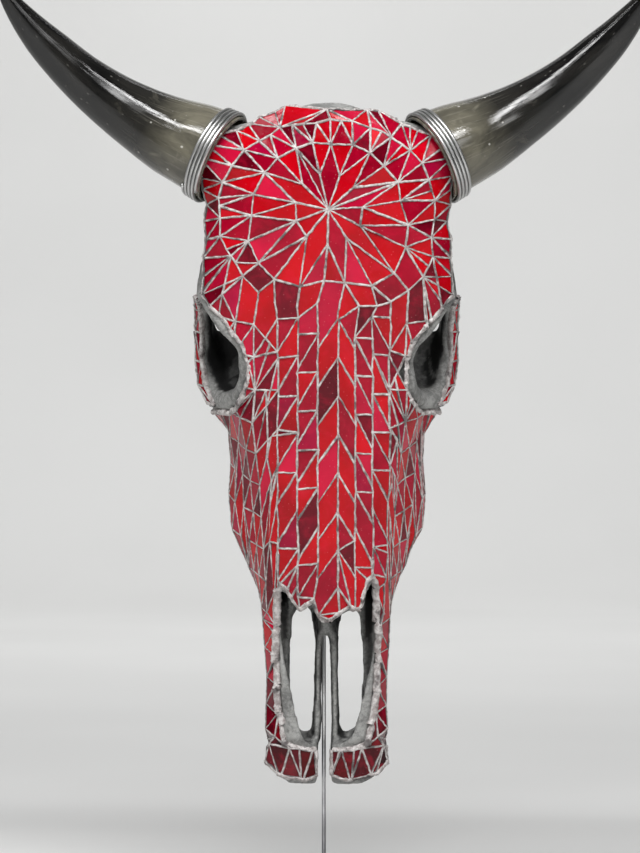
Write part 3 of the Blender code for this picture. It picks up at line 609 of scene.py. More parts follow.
# Half outlines of the whole skull without its cavities, mm: (height, [(x, y) from front to back])
HEAD = [
    (1, [(0, 13), (12, 12), (22, 13), (26, 15), (26, 18), (22, 20), (12, 21), (0, 21)]),
    (8, [(0, 9), (14, 8), (28, 9), (36, 12), (37, 17), (33, 21), (16, 23), (0, 23)]),
    (18, [(0, 7), (15, 6), (32, 7), (41, 11), (42, 18), (38, 23), (18, 25), (0, 25)]),
    (30, [(0, 7), (15, 6), (33, 8), (42, 14), (43, 22), (40, 28), (20, 28), (0, 28)]),
    (50, [(0, 6), (14, 6), (32, 9), (40, 17), (41, 27), (38, 35), (20, 33), (0, 33)]),
    (80, [(0, 5), (14, 5), (31, 10), (40, 20), (41, 33), (38, 44), (20, 42), (0, 41)]),
    (110, [(0, 3), (14, 4), (32, 11), (41, 22), (43, 38), (39, 52), (22, 50), (0, 50)]),
    (130, [(0, 1), (15, 3), (33, 10), (43, 24), (44, 42), (40, 58), (24, 57), (0, 57)]),
    (150, [(0, 0), (18, 2), (34, 8), (46, 26), (50, 48), (44, 66), (26, 63), (0, 63)]),
    (175, [(0, -1), (20, 1), (37, 7), (50, 28), (63, 54), (49, 76), (28, 71), (0, 70)]),
    (198, [(0, -1), (21, 1), (38, 7), (54, 30), (70.5, 58), (54, 86), (30, 78), (0, 77)]),
    (222, [(0, -1), (22, 1), (40, 8), (56, 32), (68, 60), (58, 94), (30, 85), (0, 84)]),
    (250, [(0, 0), (24, 2), (44, 8), (59, 32), (68, 62), (60, 102), (28, 92), (0, 91)]),
    (275, [(0, 1), (28, 3), (52, 9), (66, 32), (74, 62), (60, 108), (24, 98), (0, 97)]),
    (300, [(0, 1), (34, 4), (60, 10), (80, 30), (89, 68), (50, 108), (20, 103), (0, 102)]),
    (325, [(0, 1), (38, 4), (64, 9), (84, 26), (90, 68), (46, 104), (20, 108), (0, 108)]),
    (345, [(0, 0), (42, 3), (72, 9), (88, 20), (82, 56), (42, 96), (20, 112), (0, 112)]),
    (365, [(0, -1), (48, 2), (79, 9), (87, 18), (62, 46), (48, 90), (24, 116), (0, 117)]),
    (395, [(0, -2), (50, 2), (78, 10), (85, 20), (58, 48), (55, 90), (30, 122), (0, 124)]),
    (425, [(0, -2), (50, 3), (77, 12), (83, 24), (58, 50), (58, 94), (34, 124), (0, 126)]),
    (450, [(0, -1), (48, 4), (76, 11), (85, 24), (62, 48), (53, 90), (36, 122), (0, 124)]),
    (467, [(0, 1), (46, 5), (74, 13), (82.5, 29), (61, 49), (49, 84), (33, 116), (0, 118)]),
    (477, [(0, 3), (42, 8), (69, 16), (79, 30), (57, 47), (45, 76), (28, 100), (0, 104)]),
    (484, [(0, 5), (36, 11), (60, 20), (72, 31), (47, 46), (38, 64), (22, 84), (0, 87)]),
    (488, [(0, 7), (30, 13), (46, 21), (53, 32), (43, 48), (35, 60), (19, 74), (0, 77)]),
    (492.5, [(0, 8), (20, 13), (30, 20), (34, 30), (31, 46), (26, 55), (16, 65), (0, 67)]),
    (496, [(0, 10), (15, 14), (21, 20), (24, 29), (22, 42), (19, 49), (12, 55), (0, 57)]),
    (500, [(0, 13), (9, 15), (15, 20), (17, 28), (15, 37), (12, 41), (8, 43), (0, 44)]),
]
# Edge of the glass on the right side, mm along the surface from the midline and in height
NOSE_EDGE_RIGHT = [
    (2, 131), (9, 136), (17, 141), (21, 138), (24, 139), (25.5, 146), (29, 160), (33, 164),
    (38.5, 150), (40, 125), (41, 95), (37, 62), (34, 48), (31, 35), (20, 31), (3.8, 30),
]
NOSE_EDGE_LEFT = [
    (-4, 131), (-7, 137), (-9, 147), (-15, 142), (-19, 138), (-24, 144), (-28, 153), (-33, 157),
    (-38, 150), (-39, 125), (-40, 95), (-37, 62), (-34, 48), (-31, 35), (-20, 31), (-7.6, 30),
]
CHIN_RIGHT = [(3.8, 10), (14, 8.5), (26, 10), (36, 13), (44, 20)]
CHIN_LEFT = [(-7.6, 10), (-14, 8.5), (-26, 10), (-36, 13), (-44, 20)]
CHEEK_HEIGHTS = (28, 42, 65, 95, 125, 150, 175, 200, 225, 250, 266)
ORBIT_EDGE = [(122, 275), (104, 277), (84, 276), (69, 282), (60, 291), (56, 304), (56, 319),
              (60, 334), (72, 348)]
TEMPLE_HEIGHTS = (366, 379, 392, 405, 418, 430, 441, 452)
# Edge of the glass at the mouth of the horn, seen from the front, mm: (x, height)
HORN_EDGE = [(81.5, 462), (78, 470), (73.5, 477), (64, 482.5), (52, 485)]
POLL_HEIGHTS = (489, 492, 494.5)
POLL_TOP = 497
# Ends of the lines between the columns of tiles, below the star
COLUMN_TOPS = [(0, 360), (14, 362), (28, 360), (41, 364), (53, 371), (64, 381), (72, 395)]
STAR_SIDES = 377  # height above which rings run round the star
WIDE_GAP = 14.5  # a gap in a ring wider than this gets one more point
COLUMN_COUNT = 12
LONG_COLUMNS = 3
COLUMN_WIDTH = 12.5
COLUMN_START = 352  # height of the upper end of the narrow columns
COLUMN_FOOT = 125
COLUMN_ROWS = 10
STAR = Vector((1, 430))
PETALS = 11
PETAL_SHIFT = 0.15  # share of a petal by which the star is turned
HEART_RADIUS = 24


class Skin:
    """The outer surface of the head, unrolled: distance from the midline against height, in mm."""

    STEPS = 4

    def __init__(self) -> None:
        """Lines up the outlines."""
        lines = loft_lines(HEAD, self.STEPS)[: 7 * self.STEPS + 1]
        self.heights = [point.z for point in lines[0]]
        self.rows = []
        for level in range(len(lines[0])):
            row = [line[level] for line in lines]
            arcs = [0.0]
            for a, b in zip(row, row[1:]):
                arcs.append(arcs[-1] + (b - a).length)
            self.rows.append((row, arcs))

    def _bracket(self, height: float) -> tuple[int, float]:
        """The level below a height, and the share of the way to the next."""
        height = min(max(height, self.heights[0]), self.heights[-1])
        for k in range(len(self.heights) - 1):
            if height <= self.heights[k + 1]:
                break
        low, high = self.heights[k], self.heights[k + 1]
        return k, (height - low) / (high - low)

    def arc(self, corner: float, height: float) -> float:
        """Distance from the midline of one corner of the half outlines, counted from the front."""
        level, part = self._bracket(height)
        place = corner * self.STEPS
        index = min(int(place), 7 * self.STEPS - 1)
        found = []
        for _, arcs in (self.rows[level], self.rows[level + 1]):
            found.append(arcs[index] + (arcs[index + 1] - arcs[index]) * (place - index))
        return found[0] + (found[1] - found[0]) * part

    def reach(self, x: float, height: float) -> float:
        """Distance from the midline at which the front of the skin is this far to the side."""
        level, part = self._bracket(height)
        found = []
        for row, arcs in (self.rows[level], self.rows[level + 1]):
            widest = max(range(len(row)), key=lambda k: row[k].x)
            k = next((k for k in range(widest) if row[k + 1].x >= x), widest - 1)
            share = min(1.0, (x - row[k].x) / (row[k + 1].x - row[k].x))
            found.append(arcs[k] + (arcs[k + 1] - arcs[k]) * share)
        return found[0] + (found[1] - found[0]) * part

    def point(self, across: float, height: float) -> Vector:
        """The place of a point given by its distance across and its height."""
        level, part = self._bracket(height)
        found = []
        for row, arcs in (self.rows[level], self.rows[level + 1]):
            reach = min(abs(across), arcs[-1] - 0.01)
            k = next(i for i in range(len(arcs) - 1) if arcs[i + 1] > reach)
            found.append(row[k].lerp(row[k + 1], (reach - arcs[k]) / (arcs[k + 1] - arcs[k])))
        place = found[0].lerp(found[1], part)
        if across < 0:
            place.x = -place.x
        return place

    def normal(self, across: float, height: float) -> Vector:
        """The direction straight out of the surface."""
        step = 2.0
        along = self.point(across + step, height) - self.point(across - step, height)
        up = self.point(across, height + step) - self.point(across, height - step)
        return up.cross(along).normalized() * -1


class Tiling:
    """The lines between the tiles, as points on the unrolled skin and pairs of points."""

    def __init__(self, skin: Skin) -> None:
        """Starts with no lines."""
        self.skin = skin
        self.random = Random(6)
        self.shifts = Random(2)
        self.points = []
        self.pairs = []
        self.tops = {}

    def node(self, across: float, height: float, shake: float = 1.0) -> int:
        """Adds a point, shaken a little, and returns its number."""
        across += self.random.uniform(-shake, shake)
        height += self.random.uniform(-shake, shake)
        self.points.append(Vector((across, height)))
        return len(self.points) - 1

    def join(self, first: int, second: int) -> None:
        """Adds a line between two points."""
        if first != second:
            self.pairs.append((first, second))

    def chain(self, nodes: Cell, closed: bool = False) -> None:
        """Joins points in a row."""
        for a, b in zip(nodes, nodes[1:] + (nodes[:1] if closed else [])):
            self.join(a, b)

    def zip_rows(self, inner: Cell, outer: Cell, centre: Vector, closed: bool = False) -> None:
        """Fills the band between two rows of points with triangles, in turn round a centre."""
        def turn(number: int) -> float:
            """Direction of a point from the centre, from straight below it."""
            arm = self.points[number] - centre
            return (math.atan2(arm.y, arm.x) + math.pi / 2) % math.tau
        rows = []
        for row in (inner, outer):
            row = sorted(row, key=turn)
            turns = [turn(number) for number in row]
            if closed:
                row.append(row[0])
                turns.append(turns[0] + math.tau)
            rows.append((row, turns + [math.inf]))
        place = [0, 0]
        self.join(rows[0][0][0], rows[1][0][0])
        while place[0] + 1 < len(rows[0][0]) or place[1] + 1 < len(rows[1][0]):
            step = 0 if rows[0][1][place[0] + 1] <= rows[1][1][place[1] + 1] else 1
            place[step] += 1
            self.join(rows[0][0][place[0]], rows[1][0][place[1]])

    def star(self) -> None:
        """The star on the forehead, and the rings of triangles round it."""
        first, tips, mids = [], [], []
        heart = self.node(STAR.x, STAR.y, 0)
        for k in range(PETALS):
            angle = math.tau * (k + PETAL_SHIFT) / PETALS
            place = (STAR.x + HEART_RADIUS * math.cos(angle),
                     STAR.y + HEART_RADIUS * math.sin(angle))
            first.append(self.node(*place, 1.5))
        for k in range(2 * PETALS):
            angle = math.tau * (k / 2 + PETAL_SHIFT) / PETALS
            down = max(0.0, -math.sin(angle))
            reach = 44 + 8 * abs(math.cos(angle)) + 22 * down * abs(math.cos(angle)) + 4 * down
            place = (STAR.x + reach * math.cos(angle), STAR.y + reach * math.sin(angle))
            (mids if k % 2 == 0 else tips).append(self.node(*place, 1.5))
        for k in range(PETALS):
            n = (k + 1) % PETALS
            self.join(heart, first[k])
            self.join(first[k], tips[k])
            self.join(first[n], tips[k])
            self.join(first[k], mids[k])
            self.join(mids[k], tips[k])
            self.join(tips[k], mids[n])
        third = [self.node(8, 357, 0)]
        fourth = []
        self.tops = {1: [third[0]], -1: [third[0]]}  # upper ends of the lines between columns
        for side in (-1, 1):
            for across, height in COLUMN_TOPS[1:]:
                spine = 8 if across < 30 else 4
                third.append(self.node(side * across + spine, height, 1))
                self.tops[side].append(third[-1])
            for across, height in ((75, 408), (76, 422), (76, 436), (73, 449), (67, 460), (58, 469),
                                   (46, 477), (32, 484), (16, 488)):
                third.append(self.node(side * across, height, 1.5))
            for across, height in upper_edge(self.skin, side):
                fourth.append(self.node(across, height, 0))
        third.append(self.node(1, 491, 1))
        ring = sorted(third, key=lambda n: math.atan2(*(self.points[n] - STAR)))
        upper = [n for n in ring if self.points[n].y > STAR_SIDES]
        row = self.dense(upper)
        self.chain(row)
        ends = mids + tips
        self.zip_rows([n for n in ends if self.points[n].y > STAR_SIDES + 12], row, STAR)
        for number in (n for n in third if self.points[n].y <= STAR_SIDES):
            arm = self.points[number] - STAR
            self.join(number, min(ends, key=lambda n: arm.angle(self.points[n] - STAR)))
        fourth.append(self.node(0, POLL_TOP, 0))
        self.zip_rows(upper, fourth, STAR)

    def dense(self, row: Cell) -> Cell:
        """A row of points with one more in every wide gap."""
        made = []
        for a, b in zip(row, row[1:]):
            made.append(a)
            gap = self.points[b] - self.points[a]
            if gap.length > WIDE_GAP:
                place = self.points[a] + gap * self.shifts.uniform(0.4, 0.6)
                self.points.append(place + Vector((0, self.shifts.uniform(-1.2, 1.2))))
                made.append(len(self.points) - 1)
        return made + [row[-1]]

    def column_line(self, side: int, number: int, height: float) -> float:
        """Distance from the midline of one line between columns at one height."""
        edge = self.skin.arc(5, height)
        spine = 8 - 3 * min(1, number / 3)
        if number <= 3:
            return side * number * 13.2 + spine
        room = (edge - 44) / (141 - 44)
        return side * (40 + (number - 3) * COLUMN_WIDTH * min(max(room, 0.8), 1.1)) + spine / 2

    def columns(self) -> None:
        """Slanting tiles beside the spine, then narrow triangles on the sides of the face."""
        spine = []
        for side in (-1, 1):
            lines = [
                [self.tops[side][number]] if number < len(self.tops[side]) else []
                for number in range(COLUMN_COUNT + 1)
            ]
            if side == 1:
                lines[0] = []
            for number in range(LONG_COLUMNS):
                self.slants(side, number, lines)
            for number in range(LONG_COLUMNS, COLUMN_COUNT + 1):
                for row in range(COLUMN_ROWS):
                    height = 346 - 24 * row + (number - LONG_COLUMNS) * 1.6
                    if height > COLUMN_FOOT:
                        across = self.column_line(side, number, height)
                        lines[number].append(self.node(across, height, 0.8))
            for number in range(LONG_COLUMNS, COLUMN_COUNT):
                rows = [[n for n in lines[k] if self.points[n].y < COLUMN_START]
                        for k in (number, number + 1)]
                for row in range(min(len(rows[0]), len(rows[1]))):
                    self.join(rows[0][row], rows[1][row])
                    if row + 1 < len(rows[1]):
                        self.join(rows[0][row], rows[1][row + 1])
            for line in lines:
                self.chain(sorted(set(line), key=lambda n: -self.points[n].y))
            spine += lines[0]
        self.chain(sorted(set(spine), key=lambda n: -self.points[n].y))

    def slants(self, side: int, number: int, lines: list[Cell]) -> None:
        """The slanting tiles of one column near the spine."""
        pitch = 28
        top = 350 + self.random.uniform(-3, 3) - (number % 2) * 10
        for row in range(9):
            high = top - pitch * row
            low = high - (21 if number == 0 else 25)
            if low < 122:
                break
            inner = self.node(self.column_line(side, number, high), high, 0.6)
            outer = self.node(self.column_line(side, number + 1, low), low, 0.6)
            self.join(inner, outer)
            lines[number].append(inner)
            lines[number + 1].append(outer)
            if number and (row < 4 or row % 2 == 0):
                level = self.node(self.column_line(side, number + 1, high), high - 1, 0.6)
                self.join(inner, level)
                lines[number + 1].append(level)

    def chin(self) -> None:
        """The narrow tiles down the sides of the nose opening and the triangles below it."""
        for side in (-1, 1):
            rows = []
            for height in (122, 100, 78, 57, 40):
                edge = self.skin.arc(5, height)
                rows.append([
                    self.node(side * (36 + (edge - 30) * part / 3), height + 3 * part, 0.8)
                    for part in range(4)
                ])
            for row in rows:
                self.chain(row)
            for high, low in zip(rows, rows[1:]):
                for part in range(4):
                    self.join(high[part], low[part])
                    if part < 3:
                        self.join(high[part], low[part + 1])
            zigzag = [self.node(side * (2 + k * 8), 32.5 if k % 2 else 7, 0.7) for k in range(8)]
            self.chain(zigzag)


def upper_edge(skin: Skin, side: int) -> Outline:
    """Edge of the glass from one orbit up past the horn to the poll, on the unrolled skin."""
    run = [(84, 359)]
    run += [(skin.arc(2.8, z), z) for z in TEMPLE_HEIGHTS]
    run += [(skin.reach(x, z), z) for x, z in HORN_EDGE]
    run += [(skin.arc(3.15, z), z) for z in POLL_HEIGHTS]
    return [(side * across, height) for across, height in run]


def glass_edge(skin: Skin) -> Outline:
    """Outline of the glass on the unrolled skin, which ends at the rims of the orbits."""
    def side_run(side: int) -> Outline:
        """The edge on one side."""
        run = [(side * skin.arc(4.9, z), z) for z in CHEEK_HEIGHTS]
        run += [(side * across, height) for across, height in ORBIT_EDGE]
        return run + upper_edge(skin, side)
    right = CHIN_RIGHT + side_run(1)
    left = CHIN_LEFT + side_run(-1)
    return NOSE_EDGE_RIGHT + right + [(0, POLL_TOP)] + left[::-1] + NOSE_EDGE_LEFT[::-1]


def inside(point: Vector, outline: Outline) -> bool:
    """Whether a point lies within an outline."""
    found = False
    for (ax, ay), (bx, by) in closed_pairs(outline):
        if (ay > point.y) != (by > point.y):
            if point.x < ax + (bx - ax) * (point.y - ay) / (by - ay):
                found = not found
    return found


HORN_AXIS = [
    (73.5, 32, 460.5), (90, 38.5, 468), (111, 46.5, 476), (132.5, 51.5, 487), (154, 53.5, 500.5),
    (175, 52.5, 517), (196, 49, 537.5), (208, 45, 551), (219, 40.5, 565.5), (227, 36.5, 578),
    (233, 33, 589.5),
]
HORN_RADII = [33, 31.5, 28.2, 24, 20.4, 17.2, 14.2, 11.5, 8.2, 5, 1.5]
HOLLOW_AXIS = [
    (60, 27, 454), (73.5, 32, 460.5), (90, 38.5, 468), (111, 46.5, 476), (132.5, 51.5, 487),
    (147, 53, 496),
]
HOLLOW_RADII = [31.2, 31.2, 28, 23, 17.8, 12]
ORBIT_BAR = [
    (77, 54, 280), (84, 66, 291), (88, 71, 308), (88.5, 69, 330), (89, 59, 348), (88.5, 42, 360),
]
# Colours of the tiles, each with its weight
REDS = (
    ((0.62, 0.0, 0.006), 38), ((0.42, 0.0, 0.020), 34), ((0.16, 0.0, 0.010), 14),
    ((0.64, 0.006, 0.045), 10), ((0.45, 0.001, 0.042), 4),
)


def plane_of(corners: list[Vector]) -> tuple[Vector, Vector]:
    """The middle and the normal of the best plane through the corners of a polygon."""
    middle = sum(corners, Vector()) / len(corners)
    normal = Vector()
    for a, b in closed_pairs(corners):
        normal += (a - middle).cross(b - middle)
    return middle, normal.normalized()


def unevenness(corners: list[Vector]) -> float:
    """How far the corners of a polygon stand off their best plane."""
    middle, normal = plane_of(corners)
    return max(abs((corner - middle).dot(normal)) for corner in corners)


class Rim(Enum):
    """Kinds of grout edge, with their scale."""

    BROAD = 0.85
    SLIM = 0.55


@dataclass
class Mosaic:
    """The glass tiles, the beads of grout between them and the lumpy rims round them."""

    tile_depth: float = 1.3 * MM
    tile_inset: float = 0.45 * MM
    tile_edge: float = 0.25 * MM
    least_room: float = 0.5 * MM
    least_width: float = 2.0
    bend: float = 0.45 * MM
    segment: float = 2.6 * MM
    tilt: float = math.radians(1.3)
    strip_height: float = 2.3 * MM
    # Tiles below chin_top are darkened by the next factor: darker wine glass and painted shade for
    # the dimmer light low on the skull.
    chin_top: float = 0.13
    chin_wine_and_shade: float = 0.2
    lumps: float = 300

    def __post_init__(self) -> None:
        """Sets up the search trees and plans the cells."""
        self.skin = Skin()
        self.glass = node_tree("glass_mosaic")
        self.bone = node_tree("skull")
        self.nodes: list[tuple[Vector, Vector]] = []
        self.flat: list[Vector] = []
        self.cells: list[Cell] = []
        self.lines: set[tuple[int, int]] = set()
        self.rims: list[tuple[int, int, Rim]] = []
        self.random = Random(11)
        self.plan()
        for side in (-1, 1):
            self.orbit_strip(side)

    def level(self, point: Vector) -> tuple[Vector, Vector]:
        """The place on top of the glass over a point of the unrolled skin, and the way out."""
        place = STANDING @ (self.skin.point(*point) * MM)
        out = STANDING.to_3x3() @ self.skin.normal(*point)
        hit = self.glass.ray_cast(place + out * 30 * MM, -out, 45 * MM)[0]
        if hit is None:
            hit = self.glass.find_nearest(place)[0]
        return hit, out

    def plan(self) -> None:
        """Draws the cells of the main field of tiles."""
        tiling = Tiling(self.skin)
        tiling.star()
        tiling.columns()
        tiling.chin()
        outline = glass_edge(self.skin)
        start = len(tiling.points)
        points = tiling.points + [Vector(p) for p in outline]
        count = len(outline)
        pairs = tiling.pairs + [(start + k, start + (k + 1) % count) for k in range(count)]
        self.flat, _, faces, *_ = delaunay_2d_cdt(points, pairs, [], 3, 0.05)
        self.nodes = [self.level(point) for point in self.flat]
        kept = []
        for face in faces:
            for cell in self.convex(list(face)):
                middle = sum((self.flat[k] for k in cell), Vector((0, 0))) / len(cell)
                if inside(middle, outline):
                    kept.append(cell)
        for cell in self.fuse(kept):
            self.cells += self.split(cell)
        self.edges()

    def width(self, cell: Cell) -> float:
        """Twice the area of a cell over its girth, in mm."""
        flat = [self.flat[k] for k in cell]
        pairs = closed_pairs(flat)
        area = abs(sum(a.x * b.y - b.x * a.y for a, b in pairs)) / 2
        return 2 * area / sum((b - a).length for a, b in pairs)

    def turns(self, cell: Cell) -> list[float]:
        """The turns at the corners of a cell, negative where it is hollow."""
        flat = [self.flat[k] for k in cell]
        found = []
        for before, here, after in zip(flat[-1:] + flat, flat, flat[1:] + flat[:1]):
            first, second = here - before, after - here
            found.append(math.atan2(first.x * second.y - first.y * second.x, first.dot(second)))
        return found if sum(found) > 0 else [-turn for turn in found]

    def fuse(self, cells: list[Cell]) -> list[Cell]:
        """Joins cells too narrow for a tile to a neighbour.

        Args:
            cells: The cells.

        Returns:
            Fewer cells.
        """
        cells = list(cells)
        for cell in sorted(cells, key=self.width):
            if cell not in cells or self.width(cell) > self.least_width:
                continue
            owners = {pair: other for other in cells for pair in closed_pairs(other)}
            sides = sorted(closed_pairs(cell),
                           key=lambda pair: -(self.flat[pair[0]] - self.flat[pair[1]]).length)
            for a, b in sides:
                other = owners.get((b, a))
                if other is None or other is cell:
                    continue
                pairs = set(closed_pairs(cell)) | set(closed_pairs(other))
                rest = [(p, q) for p, q in pairs if (q, p) not in pairs]
                follow = dict(rest)
                loop = [rest[0][0]]
                while len(loop) <= len(rest) and follow[loop[-1]] != loop[0]:
                    loop.append(follow[loop[-1]])
                if len(loop) == len(rest) and min(self.turns(loop)) > -0.4:
                    cells.remove(cell)
                    cells.remove(other)
                    cells.append(loop)
                    break
        return cells

    def convex(self, cell: Cell) -> list[Cell]:
        """Cuts a cell with a hollow corner into cells without one.

        Args:
            cell: Numbers of its corners.

        Returns:
            One or more cells.
        """
        count = len(cell)
        flat = [self.flat[k] for k in cell]
        turns = self.turns(cell)
        worst = min(range(count), key=lambda k: turns[k])
        if count < 4 or turns[worst] > -0.32:
            return [cell]
        loop = [tuple(point) for point in flat]
        best = None
        for j in range(count):
            if min((j - worst) % count, (worst - j) % count) < 2:
                continue
            samples = [flat[worst].lerp(flat[j], share) for share in (0.03, 0.25, 0.5, 0.75, 0.97)]
            if not all(inside(sample, loop) for sample in samples):
                continue
            low, high = min(worst, j), max(worst, j)
            parts = (cell[low:high + 1], cell[high:] + cell[:low + 1])
            room = min(self.width(part) for part in parts)
            if best is None or room > best[0]:
                best = (room, parts)
        if best is None:
            return [cell]
        return self.convex(best[1][0]) + self.convex(best[1][1])

    def split(self, cell: Cell) -> list[Cell]:
        """Cuts a cell that the bone bends too much for one flat tile.

        Args:
            cell: Numbers of its corners.

        Returns:
            One or more cells.
        """
        places = [self.nodes[k][0] for k in cell]
        count = len(cell)
        if count == 3 or unevenness(places) < self.bend:
            return [cell]
        loop = [tuple(self.flat[k]) for k in cell]
        best = None
        for i in range(count):
            for j in range(i + 2, count - (i == 0)):
                if not inside((self.flat[cell[i]] + self.flat[cell[j]]) / 2, loop):
                    continue
                parts = (cell[i:j + 1], cell[j:] + cell[:i + 1])
                worst = max(unevenness([self.nodes[k][0] for k in part]) for part in parts)
                if best is None or worst < best[0]:
                    best = (worst, parts)
        if best is None:
            return [cell]
        return self.split(best[1][0]) + self.split(best[1][1])

    def edges(self) -> None:
        """Sorts the edges of the cells into lines between tiles and rims round them."""
        seen: dict[tuple[int, int], int] = {}
        for cell in self.cells:
            for a, b in closed_pairs(cell):
                seen[(a, b)] = 1
        for a, b in seen:
            if (b, a) in seen:
                self.lines.add((min(a, b), max(a, b)))
            else:
                high = (self.flat[a].y + self.flat[b].y) / 2
                far = (abs(self.flat[a].x) + abs(self.flat[b].x)) / 2
                chin = high < 40 and (far < 10 or (high > 25 and far < 31))
                slim = chin or high > 362 or (high < 270 and far > 60)
                self.rims.append((a, b, Rim.SLIM if slim else Rim.BROAD))

    def orbit_strip(self, side: int) -> None:
        """The narrow band of tiles on the outer bar of one orbit."""
        turn = STANDING.to_3x3()
        rows: tuple[Cell, Cell] = ([], [])
        for point in spline(ORBIT_BAR, 1):
            centre = STANDING @ (Vector((side * point.x, point.y, point.z)) * MM)
            for row, (x, y) in zip(rows, ((0.45, -0.89), (1.0, -0.05))):
                out = (turn @ Vector((side * x, y, 0))).normalized()
                hit = self.bone.ray_cast(centre + out * 25 * MM, -out, 30 * MM)[0]
                if hit is None:
                    hit = centre + out * 6 * MM
                row.append(len(self.nodes))
                self.nodes.append((hit + out * self.strip_height * 0.6, out))
        made = []
        for k in range(len(rows[0]) - 1):
            a, b, c, d = rows[0][k], rows[0][k + 1], rows[1][k], rows[1][k + 1]
            made += [[a, b, c], [b, d, c]] if k % 2 else [[a, b, d], [a, d, c]]
        if side > 0:
            made = [cell[::-1] for cell in made]
        seen = {(a, b) for cell in made for a, b in closed_pairs(cell)}
        for a, b in seen:
            if (b, a) in seen:
                self.lines.add((min(a, b), max(a, b)))
            else:
                self.rims.append((a, b, Rim.SLIM))
        self.cells += made

    def tint(self, middle: Vector) -> Tint:
        """The colour of one tile, drawn at random, darker on the chin for its wine glass and as
        painted shade for the dimmer light there.
        """
        colour = self.random.choices([c for c, _ in REDS], [w for _, w in REDS])[0]
        shade = self.random.uniform(0.72, 1.04)
        # Painted shade on the chin, together with its darker wine glass.
        if middle.z < self.chin_top:
            shade *= self.chin_wine_and_shade
        return (colour[0] * shade, colour[1] * shade, colour[2] * shade, 1.0)

    def drawn_in(self, corners: list[Vector], middle: Vector, depth: float) -> list[Vector]:
        """The corners of a polygon moved in from its sides.

        Args:
            corners: The corners.
            middle: The middle of the polygon.
            depth: How far the sides move.

        Returns:
            The new corners.
        """
        made = []
        for before, here, after in zip(corners[-1:] + corners, corners, corners[1:] + corners[:1]):
            first, second = (before - here).normalized(), (after - here).normalized()
            way = first + second
            if way.length < 0.2:
                way = middle - here
            slant = math.sin(first.angle(second, math.pi) / 2)
            reach = min(depth / max(slant, 0.3), (middle - here).length * 0.4)
            made.append(here + way.normalized() * reach)
        return made

    def tiles(self) -> None:
        """Makes the flat glass tiles, with ground edges."""
        field = Gather()
        for cell in self.cells:
            corners = [self.nodes[k][0] for k in cell]
            middle, normal = plane_of(corners)
            out = sum((self.nodes[k][1] for k in cell), Vector())
            if normal.dot(out) < 0:
                normal = -normal
            tint = self.tint(middle)
            lean = Vector([self.random.gauss(0, self.tilt) for _ in range(3)])
            tilted = (normal + lean - normal * normal.dot(lean)).normalized()
            flat = [c - tilted * (c - middle).dot(tilted) for c in corners]
            room = min(abs((middle - p).dot((q - p).cross(normal).normalized()))
                       for p, q in closed_pairs(flat))
            if room < self.least_room:
                continue
            rim = self.drawn_in(flat, middle, self.tile_inset)
            top = self.drawn_in(rim, middle, self.tile_edge)
            bm = bmesh.new()
            face = bm.faces.new([bm.verts.new(place) for place in rim])
            face.normal_update()
            if face.normal.dot(normal) < 0:
                face.normal_flip()
            border, low = list(face.edges), list(face.verts)
            bmesh.ops.inset_individual(bm, faces=[face], thickness=0, use_even_offset=False)
            for vertex in face.verts:
                vertex.co = top[min(range(len(rim)), key=lambda k: (vertex.co - rim[k]).length)]
            bmesh.ops.translate(bm, verts=low, vec=-normal * self.tile_edge * 0.7)
            foot = extruded(bm, border)[0]
            bmesh.ops.translate(bm, verts=foot, vec=-normal * self.tile_depth)
            field.take(bm, tint=tint)
        obj = put("mosaic_tiles", field.mesh(tint="tint"), GlassFinish().make(), False)
        mount(obj, Slot.TILE_GLASS, "glass_mosaic")

    def bead(self, lump: Gather, ends: tuple[int, int],
             section: list[Triple]) -> None:
        """Runs one bead of grout between two nodes.

        Args:
            lump: What it goes into.
            ends: Numbers of its two nodes.
            section: Its cross-section, each (across, height, foot), in metres; foot is the share of
                painted shadow at that point.
        """
        (a, up_a), (b, up_b) = self.nodes[ends[0]], self.nodes[ends[1]]
        run = b - a
        length = run.length
        if length < 0.5 * MM:
            return
        along = run / length
        steps = max(1, round(length / self.segment))
        up = (up_a - along * up_a.dot(along)).normalized()
        side = along.cross(up)
        last = (up_b - along * up_b.dot(along)).normalized()
        twist = math.atan2(last.dot(side), last.dot(up))
        bm = bmesh.new()
        # foot carries each point's share of painted shadow to the grout material.
        foot = bm.verts.layers.float.new("foot")
        verts = []
        for across, height, share in section:
            vertex = bm.verts.new(a + side * across + up * height)
            vertex[foot] = share
            verts.append(vertex)
        edges = [bm.edges.new(pair) for pair in zip(verts, verts[1:])]
        spin = Matrix.Rotation(-twist / steps, 3, along)
        place = a
        for _ in range(steps):
            new, edges = extruded(bm, edges)
            bmesh.ops.rotate(bm, cent=place, matrix=spin, verts=new)
            bmesh.ops.translate(bm, verts=new, vec=run / steps)
            place = place + run / steps
        lump.take(bm, "foot")

